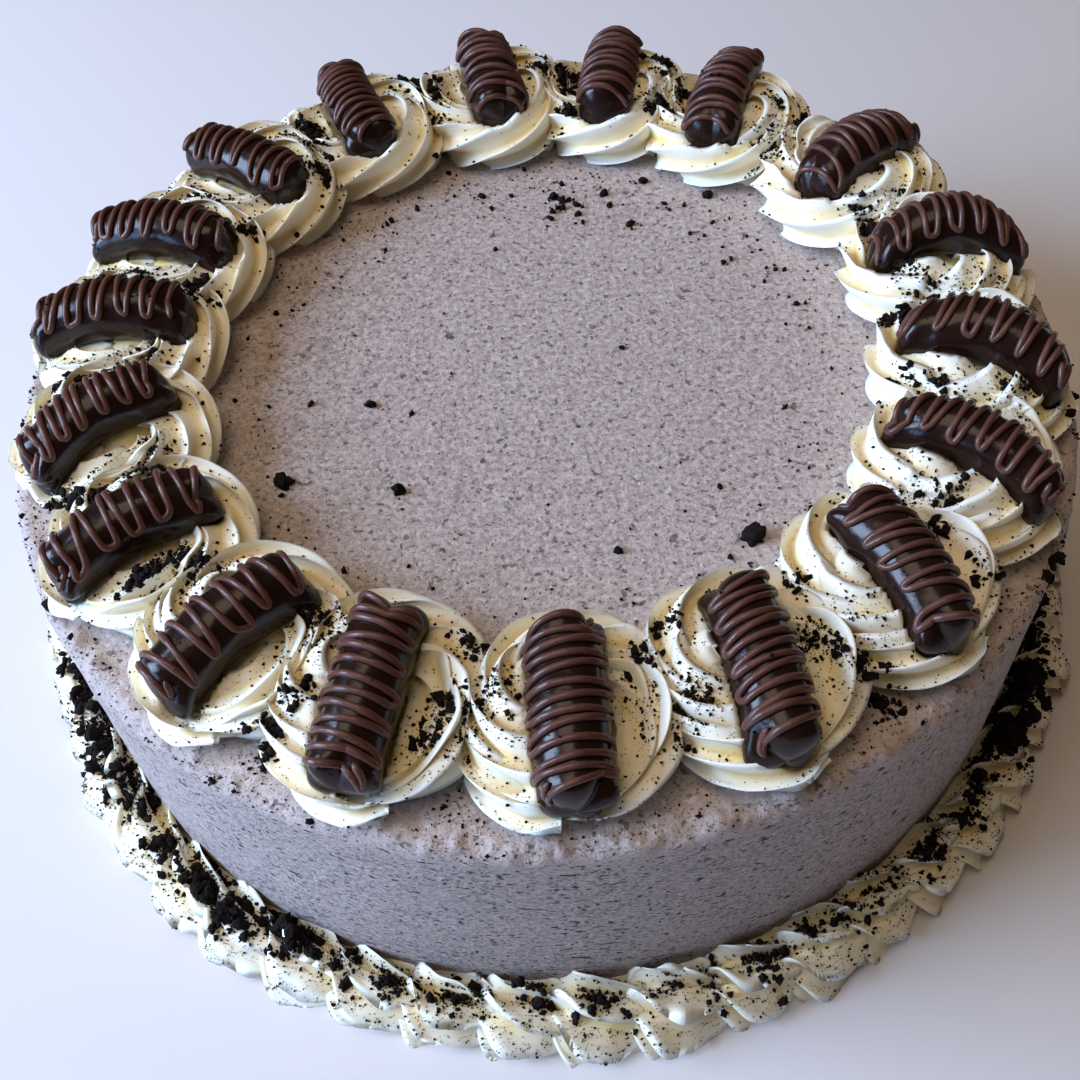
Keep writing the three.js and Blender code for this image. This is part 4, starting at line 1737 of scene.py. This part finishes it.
@dataclass(frozen=True)
class DippedChocolate(Finish):
    """Dark chocolate set from a dip: glossy and almost black, with soft ripples.

    Attributes:
        dark: Its darker places.
        brown: Its lighter places.
        roughness: How matt its gloss is.
        drift: Millimetres across those places.
        ripple: Millimetres across the ripples.
        relief: How high they are, in millimetres.
    """

    name: str = "dipped_dark_chocolate"
    dark: str = "#160b09"
    brown: str = "#29150f"
    roughness: float = 0.22
    drift: float = 6.0
    ripple: float = 2.4
    relief: float = 0.3

    def paint(self, tree: bpy.types.NodeTree, shader: bpy.types.Node) -> None:
        """Paints the coating.

        Args:
            tree: The node tree.
            shader: The surface's shader.
        """
        place = add_node(tree, "ShaderNodeTexCoord").outputs["Object"]
        drift = add_node(tree, "ShaderNodeTexNoise", {
            "Vector": place, "Scale": 1 / (self.drift * MM), "Detail": 4}).outputs["Fac"]
        base = add_node(tree, "ShaderNodeMix", {
            "Factor": drift, 6: linear(self.dark), 7: linear(self.brown)}, data_type="RGBA").outputs[2]
        tree.links.new(base, shader.inputs["Base Color"])
        ripple = add_node(tree, "ShaderNodeTexNoise", {
            "Vector": place, "Scale": 1 / (self.ripple * MM), "Detail": 3}).outputs["Fac"]
        bump = add_node(tree, "ShaderNodeBump", {
            "Height": ripple, "Strength": 0.35, "Distance": self.relief * MM})
        tree.links.new(bump.outputs[0], shader.inputs["Normal"])
        shader.inputs["Roughness"].default_value = self.roughness
        shader.inputs["IOR"].default_value = 1.5
        shader.inputs["Specular IOR Level"].default_value = 0.28


@dataclass(frozen=True)
class PipedMilkChocolate(DippedChocolate):
    """Milk chocolate piped over it as a thin strand: warm brown, less glossy, with finer ripples."""

    name: str = "piped_milk_chocolate"
    dark: str = "#52332b"
    brown: str = "#5f3e35"
    roughness: float = 0.26
    ripple: float = 1.2


@dataclass(frozen=True)
class BakedCrumb(Finish):
    """Crushed cocoa cookie: baked, dry, rough and nearly black.

    Attributes:
        dark: The crumb itself.
        dusty: Its dusty places.
        grain: Millimetres across its grain.
        relief: How high the grain is, in millimetres.
    """

    name: str = "baked_cocoa_crumb"
    dark: str = "#0e0a09"
    dusty: str = "#211815"
    grain: float = 0.8
    relief: float = 0.5

    def paint(self, tree: bpy.types.NodeTree, shader: bpy.types.Node) -> None:
        """Paints the crumb and its open, grainy break.

        Args:
            tree: The node tree.
            shader: The surface's shader.
        """
        place = add_node(tree, "ShaderNodeTexCoord").outputs["Object"]
        grain = add_node(tree, "ShaderNodeTexNoise", {
            "Vector": place, "Scale": 1 / (self.grain * MM), "Detail": 4}).outputs["Fac"]
        base = add_node(tree, "ShaderNodeMix", {
            "Factor": grain, 6: linear(self.dark), 7: linear(self.dusty)}, data_type="RGBA").outputs[2]
        tree.links.new(base, shader.inputs["Base Color"])
        bump = add_node(tree, "ShaderNodeBump", {
            "Height": grain, "Strength": 0.9, "Distance": self.relief * MM})
        tree.links.new(bump.outputs[0], shader.inputs["Normal"])
        shader.inputs["Roughness"].default_value = 0.85
        shader.inputs["Specular IOR Level"].default_value = 0.12


@dataclass(frozen=True)
class PaintedPaper(Finish):
    """The studio floor: pale matt paper."""

    name: str = "pale_studio_paper"
    tone: str = "#d9d3d2"

    def paint(self, tree: bpy.types.NodeTree, shader: bpy.types.Node) -> None:
        """Paints it plain.

        Args:
            tree: The node tree, which is not used.
            shader: The surface's shader.
        """
        shader.inputs["Base Color"].default_value = linear(self.tone)
        shader.inputs["Roughness"].default_value = 0.9
        shader.inputs["Specular IOR Level"].default_value = 0.2


@dataclass(frozen=True)
class Lamp:
    """A soft square light that faces the cake.

    Attributes:
        name: What it stands for.
        place: Where it stands, in metres.
        size: How wide it is, in metres.
        power: Watts.
        tint: Its linear colour.
        aim: The point that it faces, in metres.
    """

    name: str
    place: tuple
    size: float
    power: float
    tint: tuple
    aim: tuple = (0, 0, 0.05)

    def build(self) -> None:
        """Adds the light."""
        data = bpy.data.lights.new(self.name, "AREA")
        data.size = self.size
        data.energy = self.power
        data.color = self.tint
        lamp = bpy.data.objects.new(self.name, data)
        lamp.location = self.place
        lamp.rotation_euler = (Vector(self.place) - Vector(self.aim)).to_track_quat("Z", "Y").to_euler()
        bpy.context.scene.collection.objects.link(lamp)


@dataclass
class Studio:
    """Camera, floor and soft lights: a cool window and low blue sky at the left, and the warm room.

    Attributes:
        elevation: Degrees by which the camera looks down.
        roll: Degrees by which it leans.
        distance: Millimetres from it to the point that it aims at.
        lens: Its focal length in millimetres.
        sensor: Its sensor's width in millimetres.
        clip: The nearest and the farthest that it sees, in metres.
        aim: The point that it aims at, in millimetres.
        floor_half: Half of the floor's width, in metres.
        lamps: The lights.
        room: The linear colour of the light from all round.
        room_strength: How strong that light is.
    """

    elevation: float = 52.88
    roll: float = -4.35
    distance: float = 379.9
    lens: float = 43.37
    sensor: float = 36.0
    clip: tuple = (0.01, 20)
    aim: tuple = (-3.1, 0.0, 7.8)
    floor_half: float = 4.0
    lamps: tuple = (
        Lamp("window_light", place=(-1.1, -0.08, 0.66), size=0.7, power=24.8, tint=(0.665, 0.9, 1.31)),
        Lamp("sky_fill", place=(-1.0, -0.62, 0.24), size=0.45, power=3.8, tint=(0.42, 0.78, 1.42)),
        Lamp("ceiling_light", place=(-0.32, -0.02, 1.42), size=0.9, power=7.7, tint=(1.0, 0.81, 0.61)),
    )
    room: tuple = (1.0, 0.77, 0.5, 1)
    room_strength: float = 0.075

    def camera(self) -> None:
        """Sets the camera where the photograph's was."""
        lift = math.radians(self.elevation)
        roll = math.radians(self.roll)
        back = Vector((0, -math.cos(lift), math.sin(lift)))
        right = Vector((1, 0, 0))
        up = back.cross(right)
        across = math.cos(roll) * right + math.sin(roll) * up
        above = -math.sin(roll) * right + math.cos(roll) * up
        data = bpy.data.cameras.new("camera")
        data.lens = self.lens
        data.sensor_width = self.sensor
        data.clip_start, data.clip_end = self.clip
        camera = bpy.data.objects.new("camera", data)
        camera.matrix_world = Matrix((across, above, back)).transposed().to_4x4()
        camera.location = (Vector(self.aim) + back * self.distance) * MM
        bpy.context.scene.collection.objects.link(camera)
        bpy.context.scene.camera = camera

    def floor(self) -> None:
        """Lays a wide plain floor at the cake's base."""
        half = self.floor_half
        corners = [(-half, -half, 0), (half, -half, 0), (half, half, 0), (-half, half, 0)]
        mesh = bpy.data.meshes.new("studio_floor")
        mesh.from_pydata(corners, [], [(0, 1, 2, 3)])
        floor = bpy.data.objects.new("studio_floor", mesh)
        bpy.context.scene.collection.objects.link(floor)
        PaintedPaper().cover(floor)

    def lights(self) -> None:
        """Adds the lamps and the room's own light."""
        for lamp in self.lamps:
            lamp.build()
        world = bpy.data.worlds.new("room")
        world.use_nodes = True
        sky = world.node_tree.nodes["Background"]
        sky.inputs["Color"].default_value = self.room
        sky.inputs["Strength"].default_value = self.room_strength
        bpy.context.scene.world = world
        bpy.context.scene.view_settings.view_transform = "Standard"

    def build(self) -> None:
        """Sets up the whole studio."""
        self.camera()
        self.floor()
        self.lights()


def landing_of(pieces: list[bpy.types.Object]) -> BVHTree:
    """Gathers surfaces for crumbs to land on.

    Args:
        pieces: The meshes that crumbs may touch.

    Returns:
        One search tree over all their triangles, in metres.
    """
    points, triangles, count = [], [], 0
    for piece in pieces:
        mesh = piece.data
        mesh.calc_loop_triangles()
        co = np.zeros(len(mesh.vertices) * 3, np.float32)
        mesh.vertices.foreach_get("co", co)
        tri = np.zeros(len(mesh.loop_triangles) * 3, np.int32)
        mesh.loop_triangles.foreach_get("vertices", tri)
        points.append(co.reshape(-1, 3))
        triangles.append(tri.reshape(-1, 3) + count)
        count += len(mesh.vertices)
    return BVHTree.FromPolygons(np.concatenate(points).tolist(), np.concatenate(triangles).tolist())


def sprinkle(sizes: CakeSizes, landing: BVHTree) -> list[bpy.types.Object]:
    """Sprinkles all the crumbs, in the order in which they fell.

    Args:
        sizes: The cake's sizes.
        landing: What they land on.

    Returns:
        One piece for each kind of crumb.
    """
    fall = CrumbFall(sizes, landing, np.random.default_rng(CRUMB_SEED))
    for index in range(ROSETTE_COUNT):
        between = RingPlace.between(index)
        for _ in range(4):
            angle = between + fall.rng.uniform(-0.06, 0.06)
            fall.clump(fall.rng.uniform(86, 120), angle, spread=1.9, count=110, small=0.4, large=2.4)
        fall.clump(fall.rng.uniform(92, 112), between, spread=5.0, count=520, small=0.3, large=1.1)
        fall.clump(fall.rng.uniform(90, 114), between + fall.rng.uniform(-0.12, 0.12),
                   spread=2.2, count=260, small=0.28, large=1.4)
    for band in TOP_BANDS:
        fall.band(*band)
    for index in range(BORDER_COUNT):
        for count in fall.rng.integers(60, 300, 2):
            angle = TURN * (index + fall.rng.uniform(0, 0.7)) / BORDER_COUNT
            fall.clump(BORDER_HEAP + fall.rng.uniform(-1.5, 2), angle, spread=1.9, count=count,
                       small=0.45, large=1.8)
    for _ in range(BORDER_HANDFULS):
        angle = fall.rng.uniform(0, TURN)
        fall.clump(BORDER_RIDGE + fall.rng.uniform(-3, 6), angle, spread=1.6, count=7, small=1.2, large=3.0)
    fall.band(*BORDER_BAND)
    for middle, spread, inner, outer, handfuls, count, small, large in CRUMB_DRIFTS:
        for angle in np.radians(fall.rng.normal(middle, spread, handfuls)):
            fall.clump(fall.rng.uniform(inner, outer), angle, spread=2.4, count=count,
                       small=small, large=large)
    for x, y, size in LOOSE_CRUMBS:
        fall.drop(x, y, size)
        fall.clump(math.hypot(x, y), math.atan2(y, x), spread=0.45 * size, count=5,
                   small=0.2 * size, large=0.45 * size)
    return fall.build()


def main() -> None:
    """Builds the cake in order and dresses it."""
    logging.basicConfig(level=logging.INFO, format="%(message)s")
    sizes = CakeSizes.from_frame()
    Studio().build()

    drum = CakeDrum(sizes).build()
    SpreadCookieButtercream().cover(drum)
    log.info("cake drum, %d faces", len(drum.data.polygons))

    places = [RingPlace(index, sizes) for index in range(ROSETTE_COUNT)]
    logs = [ChocolateLog(place) for place in places]
    built = [piece.build() for piece in logs]
    bodies = [pair[0] for pair in built]
    drizzles = [pair[1] for pair in built]
    DippedChocolate().cover(*bodies)
    PipedMilkChocolate().cover(*drizzles)
    log.info("logs, %d", len(bodies))

    rosettes = []
    for index, place in enumerate(places):
        beside = [logs[(index + step) % ROSETTE_COUNT] for step in (-1, 0, 1)]
        rosettes.append(Rosette(place).build(beside))
    border = ShellBorder(sizes).build()
    PipedFrosting().cover(border, *rosettes)
    log.info("rosettes, %d, %d faces each", len(rosettes), len(rosettes[0].data.polygons))
    log.info("border, %d faces", len(border.data.polygons))

    landing = landing_of([drum, border, *rosettes, *bodies, *drizzles])
    crumbs = sprinkle(sizes, landing)
    BakedCrumb().cover(*crumbs)
    for piece in crumbs:
        log.info("%s, %d faces", piece.name, len(piece.data.polygons))


if __name__ == "__main__":
    main()
